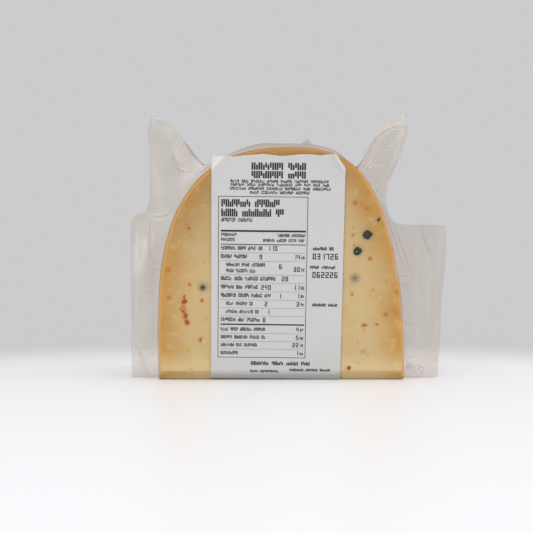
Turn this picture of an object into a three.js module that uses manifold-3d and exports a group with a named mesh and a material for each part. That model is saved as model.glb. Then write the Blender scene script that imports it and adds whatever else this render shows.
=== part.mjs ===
// A wedge of spiced gouda-style cheese, sealed in a clear vacuum pouch with a paper scale label.
//
// The wedge is cut from a small wheel: its two cut faces are D-shaped and, carried on, would
// meet in the wheel's axis. The narrow end is cut off square, and the wedge stands on it.
// Millimetres. X runs across the cut faces, -Y is the front, +Z is up.
// The origin is in the middle of the underside, on the surface that the wedge stands on.

import * as THREE from 'three';
import { mergeVertices } from 'three/addons/utils/BufferGeometryUtils.js';
import Module from 'manifold-3d';

const wasm = await Module();
wasm.setup();

const degrees = THREE.MathUtils.degToRad;

// ---- Driving dimensions --------------------------------------------------------------------

const CHEESE_WIDTH = 108.6; // the height of the wheel, which now lies across the wedge
const CHEESE_REACH = 102.0; // from the cut-off nose to the rim, midway between the cut faces
const NOSE_THICKNESS = 14.5; // between the cut faces at the nose, before rounding
const NOSE_ROUND = 4.5; // radius of the two long edges at the nose
const HALF_ANGLE = degrees(10.5); // each cut face leans outwards by this

// Each side of the D is a rounded curve, with t from 0 at its widest to 90 degrees at the
// crown: the width falls as cos(t) ^ (2 / side) and the height rises as sin(t) ^ (2 / crown).
const LEFT_CURVE = { crown: 3.6, side: 2.2 };
const RIGHT_CURVE = { crown: 2.0, side: 3.4 };
const CURVE_STEPS = 16;
const WHEEL_SEGMENTS = 120;

const GAP = 0.3; // clearance between pieces that touch
const FILM = 0.35; // stand-in thickness of the pouch's film
const PAPER = 0.25; // stand-in thickness of the label
const FIN_CLEAR = 1.6; // the welded fins stop this far above the surface
const LIP = 2.2; // the weld's width over the rim

const LABEL_WIDTH = 57.15;
const LABEL_TOP = 96.7; // height of its upper edge
const LABEL_FOOT = 0.25; // height of its lower edge, wrapped round the nose
const LABEL_CENTRE = -2.0; // X of its middle
const LABEL_TILT = degrees(-0.7);
const LABEL_FOLD = 5.4; // size of the folded-over upper right corner

const PEPPERCORN_RADIUS = 2.25;
const FLAKE_DEPTH = 0.8;
const FLAKE_CORNERS = 7;
const FLUSH = 0.05; // inclusions lie this far under the cut face

// ---- Worked out from them ------------------------------------------------------------------

const AXIS_DEPTH = NOSE_THICKNESS / 2 / Math.tan(HALF_ANGLE); // wheel's axis below the nose
const BASE = GAP + FILM; // the cheese stands on its film
const FLAT_HALF = NOSE_THICKNESS / 2 - NOSE_ROUND * Math.tan((Math.PI / 2 - HALF_ANGLE) / 2);
const FAR = 200; // well outside the object, for half spaces

// ---- Materials -----------------------------------------------------------------------------

function finish(color, roughness, opacity = 1) {
  return new THREE.MeshStandardMaterial({
    color,
    roughness,
    metalness: 0,
    opacity,
    transparent: opacity < 1,
  });
}

const cheeseMaterial = finish(0xd8c389, 0.45);
const peppercornMaterial = finish(0x1d2024, 0.6);
const chiliMaterial = finish(0xa8401a, 0.55);
const filmMaterial = finish(0xe8e8e6, 0.12, 0.25);
const labelMaterial = finish(0xd8d7d4, 0.6);

// ---- Solids to join and cut ----------------------------------------------------------------

function solidOf(geometry) {
  const bare = geometry.clone();
  bare.deleteAttribute('normal');
  bare.deleteAttribute('uv');
  const merged = mergeVertices(bare, 1e-5);
  const corners = merged.index.array;
  const triangles = [];
  for (let i = 0; i < corners.length; i += 3) {
    const [a, b, c] = corners.slice(i, i + 3);
    if (a !== b && b !== c && c !== a) {
      triangles.push(a, b, c);
    }
  }
  return new wasm.Manifold(new wasm.Mesh({
    numProp: 3,
    vertProperties: new Float32Array(merged.attributes.position.array),
    triVerts: new Uint32Array(triangles),
  }));
}

function geometryOf(solid) {
  const mesh = solid.getMesh();
  const geometry = new THREE.BufferGeometry();
  const positions = new Float32Array(mesh.vertProperties);
  geometry.setAttribute('position', new THREE.BufferAttribute(positions, 3));
  geometry.setIndex(new THREE.BufferAttribute(new Uint32Array(mesh.triVerts), 1));
  geometry.computeVertexNormals();
  return geometry;
}

// A box between two corners.
function block(low, high) {
  const size = high.clone().sub(low);
  const geometry = new THREE.BoxGeometry(size.x, size.y, size.z);
  const middle = low.clone().add(high).multiplyScalar(0.5);
  geometry.translate(middle.x, middle.y, middle.z);
  return solidOf(geometry);
}

// An outline drawn in X and Z, given a thickness from one Y to another.
function plate(outline, yLow, yHigh) {
  const geometry = new THREE.ExtrudeGeometry(outline, {
    depth: yHigh - yLow,
    bevelEnabled: false,
    curveSegments: 5,
  });
  geometry.rotateX(Math.PI / 2);
  geometry.translate(0, yHigh, 0);
  return solidOf(geometry);
}

// ---- The wedge -----------------------------------------------------------------------------

// One side of the D from its widest place up towards the crown, as points of
// (distance from the wheel's axis, place across the wedge).
function sideCurve(curve, direction) {
  const points = [];
  for (let i = 0; i < CURVE_STEPS; i += 1) {
    const t = (Math.PI / 2) * (i / CURVE_STEPS);
    const across = (CHEESE_WIDTH / 2) * Math.cos(t) ** (2 / curve.side);
    const up = CHEESE_REACH * Math.sin(t) ** (2 / curve.crown);
    points.push(new THREE.Vector2(AXIS_DEPTH + up, direction * across));
  }
  return points;
}

// Half of the wheel's section, from its axis round the rim and back to its axis,
// moved outwards by `grow`.
function wheelSection(grow) {
  const crown = new THREE.Vector2(AXIS_DEPTH + CHEESE_REACH, 0);
  const rim = [...sideCurve(LEFT_CURVE, -1), crown, ...sideCurve(RIGHT_CURVE, 1).reverse()];
  const last = rim.length - 1;
  const moved = rim.map((point, i) => {
    const along = rim[Math.min(i + 1, last)].clone().sub(rim[Math.max(i - 1, 0)]).normalize();
    return new THREE.Vector2(point.x + grow * along.y, point.y - grow * along.x);
  });
  const half = CHEESE_WIDTH / 2 + grow;
  moved[0].set(AXIS_DEPTH, -half);
  moved[last].set(AXIS_DEPTH, half);
  return [new THREE.Vector2(0, -half), ...moved, new THREE.Vector2(0, half)];
}

function wheel(grow) {
  const geometry = new THREE.LatheGeometry(wheelSection(grow), WHEEL_SEGMENTS);
  geometry.rotateZ(-Math.PI / 2);
  geometry.translate(0, 0, BASE - AXIS_DEPTH);
  return solidOf(geometry);
}

// The wedge from its side, drawn in Y and Z: a flat nose with rounded edges between two
// leaning faces that are carried on past the rim, all moved outwards by `grow`.
function wedgeProfile(grow) {
  const radius = NOSE_ROUND + grow;
  const centre = BASE + NOSE_ROUND;
  const top = CHEESE_REACH + 30;
  const footY = FLAT_HALF + radius * Math.cos(HALF_ANGLE);
  const footZ = centre - radius * Math.sin(HALF_ANGLE);
  const topY = footY + (top - footZ) * Math.tan(HALF_ANGLE);
  const shape = new THREE.Shape();
  shape.moveTo(-FLAT_HALF, centre - radius);
  shape.lineTo(FLAT_HALF, centre - radius);
  shape.absarc(FLAT_HALF, centre, radius, -Math.PI / 2, -HALF_ANGLE, false);
  shape.lineTo(topY, top);
  shape.lineTo(-topY, top);
  shape.absarc(-FLAT_HALF, centre, radius, Math.PI + HALF_ANGLE, Math.PI * 1.5, false);
  return shape;
}

function wedgePrism(grow) {
  const geometry = new THREE.ExtrudeGeometry(wedgeProfile(grow), {
    depth: 2 * CHEESE_WIDTH,
    bevelEnabled: false,
    curveSegments: 8,
  });
  geometry.rotateX(Math.PI / 2);
  geometry.rotateZ(Math.PI / 2);
  geometry.translate(-CHEESE_WIDTH, 0, 0);
  return solidOf(geometry);
}

function wedge(grow) {
  return wheel(grow).intersect(wedgePrism(grow));
}

// ---- The cut faces and what lies in them ---------------------------------------------------

// A group whose X runs across a cut face, whose Y runs up it from the nose and whose Z
// points out of the cheese. The back face is the front one turned half round.
function cutFace(halfTurn) {
  const face = new THREE.Group();
  face.position.set(0, -NOSE_THICKNESS / 2, BASE);
  face.rotation.x = Math.PI / 2 + HALF_ANGLE;
  const turned = new THREE.Group();
  turned.rotation.z = halfTurn;
  turned.add(face);
  return { face, turned };
}

const front = cutFace(0);
const back = cutFace(Math.PI);

const pockets = []; // { mesh, geometry }: a clearance shape in the same place as its mesh

function sink(face, name, geometry, material, pocket, place) {
  const mesh = new THREE.Mesh(geometry, material);
  mesh.name = name;
  mesh.position.set(place.x, place.up, place.out);
  mesh.rotation.z = place.turn ?? 0;
  face.add(mesh);
  pockets.push({ mesh, geometry: pocket });
}

// A whole peppercorn. `under` is how deep its nearest point lies below the cut face.
function peppercorn(face, name, [x, up, under, radius = PEPPERCORN_RADIUS]) {
  const corn = new THREE.IcosahedronGeometry(radius, 2);
  const room = new THREE.IcosahedronGeometry(radius + GAP + 0.1, 1);
  sink(face, name, corn, peppercornMaterial, room, { x, up, out: -radius - under });
}

// An uneven flat outline: an ellipse whose radius is wavy.
function flakeOutline(halfWide, halfHigh, seed) {
  const points = [];
  for (let i = 0; i < FLAKE_CORNERS; i += 1) {
    const angle = (2 * Math.PI * i) / FLAKE_CORNERS;
    const wobble = 1 + 0.16 * Math.sin(2.4 * i + seed);
    points.push(new THREE.Vector2(
      halfWide * wobble * Math.cos(angle),
      halfHigh * wobble * Math.sin(angle),
    ));
  }
  return new THREE.Shape(points);
}

// A flat flake, cut through by the knife, so that it is level with the cut face.
function flake(face, name, material, [x, up, halfWide, halfHigh, lean = 0], seed) {
  const body = new THREE.ExtrudeGeometry(flakeOutline(halfWide, halfHigh, seed), {
    depth: FLAKE_DEPTH,
    bevelEnabled: false,
  });
  body.translate(0, 0, -FLAKE_DEPTH);
  const spare = GAP + 0.1;
  const room = new THREE.ExtrudeGeometry(flakeOutline(halfWide + spare, halfHigh + spare, seed), {
    depth: FLAKE_DEPTH + 1,
    bevelEnabled: false,
  });
  room.translate(0, 0, -FLAKE_DEPTH - GAP);
  sink(face, name, body, material, room, { x, up, out: -FLUSH, turn: degrees(lean) });
}

// Places on a cut face: across, up, depth under the face, and a radius where it differs.
const FRONT_PEPPERCORNS = [
  [37.0, 64.2, 0.05, 2.4],
  [32.8, 57.0, 0.05, 2.1],
  [31.8, 45.2, 0.2],
  [-34.3, 41.0, 0.2],
  [-12.0, 70.5, 0.2],
  [8.5, 22.0, 0.1],
];
const BACK_PEPPERCORNS = [
  [-26.0, 66.5, 0.05],
  [14.5, 78.0, 0.2, 2.1],
  [31.0, 49.0, 0.05, 2.4],
  [-6.5, 39.5, 0.2],
  [-38.5, 27.0, 0.1, 2.0],
  [20.5, 17.5, 0.2],
];

// Broken bits of peppercorn: across, up, half width, half height, lean in degrees.
const FRONT_PEPPER_BITS = [
  [41.6, 70.8, 1.0, 0.7, 45],
  [33.6, 16.6, 0.5, 1.0],
  [45.3, 43.6, 0.4, 0.9],
];
const BACK_PEPPER_BITS = [
  [3.0, 58.5, 0.9, 0.6, 30],
  [-17.0, 18.0, 0.6, 1.0, -20],
];

// Chili flakes: across, up, half width, half height, lean in degrees.
const FRONT_FLAKES = [
  [-42.8, 37.0, 0.8, 0.9],
  [-42.5, 34.6, 0.9, 0.9],
  [-43.0, 31.8, 1.1, 0.8],
  [-42.5, 29.6, 0.8, 0.7],
  [-42.7, 27.6, 0.9, 0.6],
  [-41.4, 25.2, 0.7, 1.1, 20],
  [-39.9, 42.2, 0.7, 0.6],
  [-34.8, 35.2, 0.6, 0.9, -20],
  [-35.8, 17.3, 0.6, 0.9, 10],
  [-40.0, 67.0, 0.6, 0.5],
  [38.5, 53.8, 0.9, 0.5, 35],
  [30.6, 37.9, 0.6, 0.8, 25],
  [36.0, 24.2, 1.2, 0.6, -10],
  [41.8, 24.5, 0.6, 0.4],
  [45.6, 29.0, 0.8, 0.6],
  [29.4, 4.6, 1.1, 0.6, 15],
  [31.0, 78.2, 0.6, 0.5],
  [36.3, 76.0, 0.7, 0.5],
];
const BACK_FLAKES = [
  [-41.0, 58.0, 0.7, 1.0, 15],
  [-33.5, 40.5, 0.9, 0.6],
  [-21.0, 83.0, 0.8, 0.6, -25],
  [-14.5, 52.0, 1.1, 0.7, 40],
  [-3.5, 72.0, 0.7, 0.8],
  [5.0, 27.0, 0.8, 1.1, -15],
  [17.0, 62.0, 0.9, 0.7, 20],
  [24.0, 36.5, 0.6, 0.9],
  [37.5, 68.0, 0.8, 0.5, -35],
  [43.0, 31.0, 0.9, 0.6],
  [-27.5, 12.0, 1.0, 0.7, 10],
  [34.0, 9.5, 0.7, 0.9],
];

// A seed of its own gives each flake another outline.
function scatter(face, name, material, places) {
  places.forEach((place, i) => flake(face, `${name}_${i + 1}`, material, place, 1.7 * i));
}

function scatterPeppercorns(face, name, places) {
  places.forEach((place, i) => peppercorn(face, `${name}_${i + 1}`, place));
}

scatterPeppercorns(front.face, 'peppercorn_front', FRONT_PEPPERCORNS);
scatterPeppercorns(back.face, 'peppercorn_back', BACK_PEPPERCORNS);
scatter(front.face, 'pepper_bit_front', peppercornMaterial, FRONT_PEPPER_BITS);
scatter(back.face, 'pepper_bit_back', peppercornMaterial, BACK_PEPPER_BITS);
scatter(front.face, 'chili_flake_front', chiliMaterial, FRONT_FLAKES);
scatter(back.face, 'chili_flake_back', chiliMaterial, BACK_FLAKES);

// ---- The cheese ----------------------------------------------------------------------------

function cheese() {
  return pockets.reduce((solid, { mesh, geometry }) => {
    const placed = geometry.clone().applyMatrix4(mesh.matrixWorld);
    return solid.subtract(solidOf(placed));
  }, wedge(0));
}

// ---- The pouch -----------------------------------------------------------------------------

function points(...pairs) {
  return pairs.map(([x, z]) => new THREE.Vector2(x, z));
}

// The welded film to the left of the cheese: a straight fin and, above it, a soft ear.
function leftWing() {
  const shape = new THREE.Shape();
  shape.moveTo(-20, FIN_CLEAR);
  shape.lineTo(-67.0, FIN_CLEAR);
  shape.lineTo(-67.6, 68.0);
  shape.quadraticCurveTo(-67.4, 73.8, -60.8, 74.0);
  shape.splineThru(points([-59.0, 80], [-58.9, 101.6], [-59.8, 110.6], [-58.6, 116.2], [-54.4, 116.6]));
  shape.splineThru(points([-49.1, 114.0], [-44.6, 108.2], [-41.0, 101.6], [-36.5, 96.0], [-30.0, 96.8]));
  shape.lineTo(-20, 90);
  shape.closePath();
  return shape;
}

// And to the right: the ear stands higher and the fin's upper corner is square.
function rightWing() {
  const shape = new THREE.Shape();
  shape.moveTo(20, FIN_CLEAR);
  shape.lineTo(20, 90);
  shape.lineTo(35.2, 91.0);
  shape.splineThru(points([36.7, 97.1], [40.7, 106.1], [45.2, 112.6], [51.1, 117.0], [55.1, 118.2]));
  shape.splineThru(points([56.9, 115.1], [56.4, 109.2], [54.2, 101.6], [51.6, 94.5], [48.6, 88.4]));
  shape.splineThru(points([47.0, 83.0], [47.2, 76.0], [49.0, 71.0], [51.0, 68.8]));
  shape.lineTo(74.0, 68.8);
  shape.splineThru(points([73.9, 51.3], [71.9, 34.3], [71.3, 16.3], [70.0, FIN_CLEAR]));
  shape.closePath();
  return shape;
}

// The flat, welded part of one film, between two values of Y.
function weld(yLow, yHigh) {
  const low = new THREE.Vector3(-FAR, yLow, FIN_CLEAR);
  const high = new THREE.Vector3(FAR, yHigh, FAR);
  const lip = wheel(GAP + LIP).intersect(block(low, high));
  return plate(leftWing(), yLow, yHigh).add(plate(rightWing(), yLow, yHigh)).add(lip);
}

// The film drawn tight over the cheese, as a skin all round it.
function skin() {
  return wedge(GAP + FILM).subtract(wedge(GAP));
}

// The space that the front film is kept in: everything before the middle, and the
// flat under the nose, which it wraps. `spare` widens it.
function frontSpace(spare) {
  const before = block(
    new THREE.Vector3(-FAR, -FAR, -FAR),
    new THREE.Vector3(FAR, -GAP / 2 + spare, FAR),
  );
  const across = CHEESE_WIDTH / 2 + BASE + spare;
  const under = block(
    new THREE.Vector3(-across, -FLAT_HALF, -FAR),
    new THREE.Vector3(across, FLAT_HALF + spare, FIN_CLEAR - GAP + spare),
  );
  return before.add(under);
}

function frontFilm() {
  const flat = weld(-GAP / 2 - FILM, -GAP / 2).subtract(wedge(GAP));
  return skin().intersect(frontSpace(0)).add(flat);
}

function backFilm() {
  const flat = weld(GAP / 2, GAP / 2 + FILM).subtract(wedge(GAP));
  return skin().add(flat).subtract(frontSpace(GAP));
}

// ---- The label -----------------------------------------------------------------------------

// A strip up the middle of the front face, with one upper corner folded over.
function labelOutline() {
  const half = LABEL_WIDTH / 2;
  const middle = LABEL_TOP / 2;
  const corners = points(
    [-half, LABEL_FOOT - middle],
    [half, LABEL_FOOT - middle],
    [half, middle - LABEL_FOLD],
    [half - LABEL_FOLD, middle],
    [-half, middle],
  );
  const origin = new THREE.Vector2(0, 0);
  const placed = corners.map((corner) => corner.rotateAround(origin, LABEL_TILT));
  placed.forEach((corner) => corner.add(new THREE.Vector2(LABEL_CENTRE, middle)));
  return new THREE.Shape(placed);
}

function label() {
  const paper = wedgePrism(BASE + GAP + PAPER).subtract(wedgePrism(BASE + GAP));
  const before = block(
    new THREE.Vector3(-FAR, -FAR, LABEL_FOOT),
    new THREE.Vector3(FAR, -FLAT_HALF, FAR),
  );
  return paper.intersect(plate(labelOutline(), -FAR, 0)).intersect(before);
}

// ---- The whole object ----------------------------------------------------------------------

const group = new THREE.Group();
group.add(front.turned, back.turned);
group.updateMatrixWorld(true);

function add(name, solid, material) {
  const mesh = new THREE.Mesh(geometryOf(solid), material);
  mesh.name = name;
  group.add(mesh);
}

add('cheese', cheese(), cheeseMaterial);
add('pouch_front_film', frontFilm(), filmMaterial);
add('pouch_back_film', backFilm(), filmMaterial);
add('label', label(), labelMaterial);

export default group;
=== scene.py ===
"""Surfaces of a wedge of spiced cheese, sealed in a clear vacuum pouch with a paper scale label.

Every shape is a function of two parameters, worked out with numpy as whole arrays. Lengths
inside the functions are millimetres. X runs across the cut faces, -Y is the front, +Z is up.
"""

import math

import bpy
import numpy as np
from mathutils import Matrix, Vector


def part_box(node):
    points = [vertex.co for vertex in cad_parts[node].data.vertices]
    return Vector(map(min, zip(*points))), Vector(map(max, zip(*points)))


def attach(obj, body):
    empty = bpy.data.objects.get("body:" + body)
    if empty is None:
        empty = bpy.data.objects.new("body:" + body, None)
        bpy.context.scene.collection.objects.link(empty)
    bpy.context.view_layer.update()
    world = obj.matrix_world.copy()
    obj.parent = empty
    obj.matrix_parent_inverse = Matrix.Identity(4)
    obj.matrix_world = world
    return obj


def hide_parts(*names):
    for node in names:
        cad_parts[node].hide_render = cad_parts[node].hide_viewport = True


bl_info = {
    "name": "Packed Cheese Wedge",
    "version": (1, 0, 0),
    "blender": (4, 5, 0),
    "location": "3D View > Sidebar > Cheese",
    "description": "Builds a wedge of spiced cheese in its vacuum pouch, with a scale label",
    "category": "Add Mesh",
}

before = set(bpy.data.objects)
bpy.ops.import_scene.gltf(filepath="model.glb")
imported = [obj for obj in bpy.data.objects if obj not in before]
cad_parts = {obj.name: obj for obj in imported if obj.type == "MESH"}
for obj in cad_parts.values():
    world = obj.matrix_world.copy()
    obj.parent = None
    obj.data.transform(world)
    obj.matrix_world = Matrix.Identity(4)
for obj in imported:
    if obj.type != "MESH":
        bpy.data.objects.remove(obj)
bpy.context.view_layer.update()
CHEESE_LOW, CHEESE_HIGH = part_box("cheese")
MM = 0.001

# Where the spices lie in the cut faces, in millimetres: across, up the face from the nose,
# radius. A back face is numbered as it is seen from behind.
FRONT_CORNS = [(37.0, 64.2, 2.85), (32.8, 57.0, 2.55)]
BACK_CORNS = [(-26.0, 66.5, 2.7), (31.0, 49.0, 2.85), (-38.5, 27.0, 2.5)]
# Peppercorns under the surface: across, up, how strongly they show.
FRONT_BURIED = [(31.8, 45.2, 1.0), (-34.3, 41.0, 1.5)]
BACK_BURIED = [(14.5, 78.0, 0.9), (-6.5, 39.5, 1.3), (20.5, 17.5, 1.0)]

# Broken peppercorns: across, up, half width, half height, lean in degrees.
FRONT_BITS = [(41.6, 70.8, 1.3, 0.75, 45), (33.6, 16.6, 0.35, 0.9, 5), (45.3, 43.6, 0.3, 0.8, 0)]
BACK_BITS = [(3.0, 58.5, 0.9, 0.6, 30), (-17.0, 18.0, 0.6, 1.0, -20)]

# Chili flakes: across, up, half width, half height, lean in degrees, redness.
FRONT_FLAKES = [
    (-42.8, 36.9, 0.8, 0.8, 0, 0.8),
    (-42.7, 34.9, 1.0, 1.1, -30, 1.0),
    (-42.9, 31.7, 1.2, 0.9, 10, 0.1),
    (-42.5, 30.3, 0.9, 0.8, 40, 0.9),
    (-42.4, 28.0, 1.1, 0.7, 10, 1.0),
    (-41.4, 25.3, 0.8, 1.1, 20, 0.9),
    (-39.9, 42.2, 0.6, 0.5, 0, 0.4),
    (-34.8, 35.2, 0.5, 0.9, -20, 0.7),
    (-35.8, 17.3, 0.6, 0.9, 10, 0.5),
    (-40.0, 67.0, 0.5, 0.5, 0, 0.6),
    (38.5, 53.8, 0.9, 0.4, 35, 0.5),
    (30.6, 37.9, 0.5, 0.7, 25, 0.3),
    (36.0, 24.2, 1.1, 0.5, -10, 0.5),
    (41.8, 24.5, 0.5, 0.3, 0, 0.5),
    (45.6, 29.0, 0.5, 0.4, 0, 0.6),
    (29.4, 4.4, 1.1, 0.65, 15, 1.0),
    (31.0, 78.2, 0.5, 0.4, 0, 0.4),
    (36.3, 76.0, 0.5, 0.4, 0, 0.2),
]
BACK_FLAKES = [
    (-41.0, 58.0, 0.6, 0.9, 15, 0.7),
    (-33.5, 40.5, 0.9, 0.5, 0, 0.4),
    (-21.0, 83.0, 0.8, 0.5, -25, 1.0),
    (-14.5, 52.0, 1.1, 0.6, 40, 0.5),
    (-3.5, 72.0, 0.6, 0.7, 0, 0.8),
    (5.0, 27.0, 0.7, 1.1, -15, 0.9),
    (17.0, 62.0, 0.9, 0.6, 20, 0.3),
    (24.0, 36.5, 0.5, 0.9, 0, 0.6),
    (37.5, 68.0, 0.8, 0.4, -35, 0.5),
    (43.0, 31.0, 0.8, 0.5, 0, 0.9),
    (-27.5, 12.0, 1.0, 0.6, 10, 0.7),
    (34.0, 9.5, 0.6, 0.9, 0, 0.4),
]

# Oil that has soaked into the paste: across, up, radius, strength.
FRONT_STAINS = [
    (-42.8, 33.3, 1.0, 0.75),
    (-42.6, 30.9, 1.1, 0.7),
    (-42.3, 29.0, 1.0, 0.75),
    (-41.9, 26.6, 0.9, 0.7),
    (-49.4, 48.8, 1.3, 0.8),
    (-49.1, 36.4, 1.3, 0.6),
    (-41.2, 68.6, 1.4, 0.5),
    (39.7, 40.0, 0.9, 0.5),
    (45.6, 29.0, 2.6, 0.4),
    (49.6, 30.0, 3.4, 0.35),
    (50.0, 39.0, 1.0, 0.8),
    (35.9, 12.0, 1.6, 0.35),
    (33.7, 7.0, 1.4, 0.25),
    (32.1, 25.8, 1.0, 0.3),
    (30.9, 67.4, 0.9, 0.55),
    (30.7, 64.0, 1.1, 0.6),
    (31.2, 59.6, 0.7, 0.75),
    (31.6, 78.0, 1.2, 0.7),
    (34.2, 77.4, 1.1, 0.55),
    (36.6, 75.6, 1.3, 0.65),
    (43.5, 68.6, 1.8, 0.35),
    (-46.5, 71.0, 1.5, 0.25),
    (-37.5, 73.0, 1.3, 0.2),
    (-45.5, 17.0, 2.5, 0.2),
]
BACK_STAINS = [
    (-46.0, 44.0, 1.7, 0.5),
    (-30.5, 57.5, 1.3, 0.45),
    (-8.0, 84.0, 1.5, 0.4),
    (9.0, 48.0, 1.2, 0.5),
    (27.5, 24.0, 1.6, 0.4),
    (46.0, 49.0, 1.8, 0.45),
    (-18.0, 31.0, 1.2, 0.4),
    (2.0, 12.5, 1.5, 0.35),
]

# Pale yellow grains of spice: across, up, radius.
FRONT_GRAINS = [
    (-40.2, 49.2, 0.9),
    (-33.3, 51.9, 0.9),
    (-33.1, 27.2, 0.8),
    (-41.2, 12.8, 1.1),
    (36.1, 21.6, 1.0),
]
BACK_GRAINS = [(-22.0, 47.0, 0.9), (12.0, 35.0, 1.0), (33.0, 60.0, 0.9), (-36.0, 18.0, 0.8)]


# ---------------------------------------------------------------- Settings


def length(name, description, default):
    """A size in metres, given here in millimetres."""
    return bpy.props.FloatProperty(
        name=name,
        description=description,
        default=default * MM,
        unit="LENGTH",
        subtype="DISTANCE",
        precision=5,
    )


def colour(name, description, default):
    """A colour, as shares of red, green and blue light."""
    return bpy.props.FloatVectorProperty(
        name=name,
        description=description,
        default=default,
        size=3,
        min=0,
        max=1,
        subtype="COLOR",
    )


def share(name, description, default):
    """A number from 0 to 1."""
    return bpy.props.FloatProperty(
        name=name, description=description, default=default, min=0, max=1, subtype="FACTOR"
    )


def degrees(name, description, default):
    """An angle, given here in degrees."""
    return bpy.props.FloatProperty(
        name=name,
        description=description,
        default=math.radians(default),
        unit="ROTATION",
        subtype="ANGLE",
    )


def power(name, default):
    """How square one part of the outline is, as the power its curve is drawn with."""
    return bpy.props.FloatProperty(name=name, description="Higher is squarer", default=default)


class WedgeSettings(bpy.types.PropertyGroup):
    width: length("Width", "Across the cut face", (CHEESE_HIGH.x - CHEESE_LOW.x) / MM)
    reach: length("Reach", "From the nose to the rim", (CHEESE_HIGH.z - CHEESE_LOW.z) / MM)
    base: length("Base", "The nose above the surface it stands on", CHEESE_LOW.z / MM)
    nose: length("Nose", "Thickness between the cut faces at the nose", 14.5)
    nose_round: length("Nose rounding", "Width of the bend along the nose's edges", 3.6)
    edge_round: length("Edge rounding", "Radius where a cut face meets the rind", 1.3)
    corner_round: length("Corner rounding", "Radius of the lower corners", 1.3)
    lean: degrees("Lean", "Each cut face leans outwards by this", 10.5)
    left_crown: power("Left crown", 3.6)
    left_side: power("Left side", 2.2)
    right_crown: power("Right crown", 2.0)
    right_side: power("Right side", 3.4)
    paste: colour("Paste", "The middle of the cut face", (0.752, 0.602, 0.31))
    ripe: colour("Ripe paste", "The paste near the rind", (0.64, 0.355, 0.065))
    rind: colour("Rind", "The rind", (0.64, 0.32, 0.055))
    oil: colour("Oil", "Stains of chili oil", (0.58, 0.23, 0.018))
    # Also the colour of the painted shade round whole peppercorns and bits.
    buried_pepper_and_shade: colour("Halo", "Paste over a buried peppercorn", (0.105, 0.125, 0.10))
    grain: colour("Grain", "Yellow grains of spice", (0.74, 0.46, 0.045))


class SpiceSettings(bpy.types.PropertyGroup):
    proud: length("Proud", "How far whole peppercorns stand out of a cut face", 0.85)
    flake_thickness: length("Flake", "Thickness of a chili flake", 0.35)
    pepper: colour("Pepper", "Dark skin of a peppercorn", (0.006, 0.007, 0.008))
    # Colour of the dusty ridges and of the painted glints on them.
    pepper_dust_and_glint: colour("Pepper ridge", "Dusty ridges of a peppercorn", (0.55, 0.56, 0.55))
    red: colour("Red", "Dark chili skin", (0.42, 0.05, 0.008))
    orange: colour("Orange", "Light chili flesh", (0.78, 0.25, 0.015))


class PouchSettings(bpy.types.PropertyGroup):
    clearance: length("Clearance", "Film off the cheese", 0.15)
    thickness: length("Thickness", "Thickness of the film", 0.07)
    lip: length("Lip", "Width of the weld over the rim", 0.9)
    tint: colour("Tint", "Colour of hazy film", (0.84, 0.83, 0.81))
    haze: share("Haze", "How milky single film is", 0.008)
    roughness: share("Roughness", "Roughness of the film", 0.27)


class LabelSettings(bpy.types.PropertyGroup):
    width: length("Width", "Across the label", 57.15)
    top: length("Top", "Height of the upper edge", 97.6)
    foot: length("Foot", "How far it hangs down past the start of its bend", 4.29)
    bend: length("Bend", "Radius it bends to along the nose", 3.6)
    centre: length("Centre", "Middle of the label, across", -2.0)
    lift: length("Lift", "The paper off the film", 0.16)
    thickness: length("Thickness", "Thickness of the paper", 0.14)
    tilt: degrees("Tilt", "The label's turn", -0.7)
    paper: colour("Paper", "Thermal paper", (0.632, 0.623, 0.608))
    ink: colour("Ink", "Print", (0.018, 0.017, 0.018))


class StageSettings(bpy.types.PropertyGroup):
    floor: colour("Floor", "Floor", (0.93, 0.935, 0.95))
    backdrop: colour("Backdrop", "Light all round", (0.60, 0.60, 0.61))
    floor_radius: length("Floor radius", "Where the floor has faded away", 700)
    camera_distance: length("Camera distance", "From the middle of the wedge", 467)
    camera_height: length("Camera height", "Above the floor", 50.1)
    camera_side: length("Camera side", "Across from the middle", -6.6)
    lens: bpy.props.FloatProperty(
        name="Lens", description="Focal length in millimetres", default=70.2, subtype="DISTANCE_CAMERA"
    )


GROUPS = {
    "cheese_wedge": WedgeSettings,
    "cheese_spice": SpiceSettings,
    "cheese_pouch": PouchSettings,
    "cheese_label": LabelSettings,
    "cheese_stage": StageSettings,
}


class Sizes:
    """The lengths of a PropertyGroup in millimetres, and its other single numbers as they are."""

    def __init__(self, group):
        for key, prop in group.bl_rna.properties.items():
            if prop.type == "FLOAT" and not prop.is_array:
                scale = MM if prop.unit == "LENGTH" else 1
                setattr(self, key, getattr(group, key) / scale)


# ---------------------------------------------------------------- Numbers on arrays


def smooth(t):
    """0 below 0, 1 above 1 and 3t^2 - 2t^3 between them."""
    t = np.clip(t, 0, 1)
    return t * t * (3 - 2 * t)


def hump(distance, radius):
    """A bell: 1 in the middle, falling as exp(-(distance / radius)^2)."""
    return np.exp(-((distance / radius) ** 2))


def ripple(p, wave, seed):
    """Slow uneven waves between about -1 and 1: the mean of six sines of nearby wavelengths,
    each along its own direction in space."""
    total = 0
    for k in range(6):
        turn = seed + 2.4 * k
        lift = math.sin(1.3 * k + seed)
        direction = np.array([math.cos(turn), math.sin(turn) * 0.8, lift])
        scale = wave * (0.65 + 0.16 * k)
        total = total + np.sin(2 * math.pi * (p @ direction) / scale + 1.7 * seed * k + k)
    return total / 3.6


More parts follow.
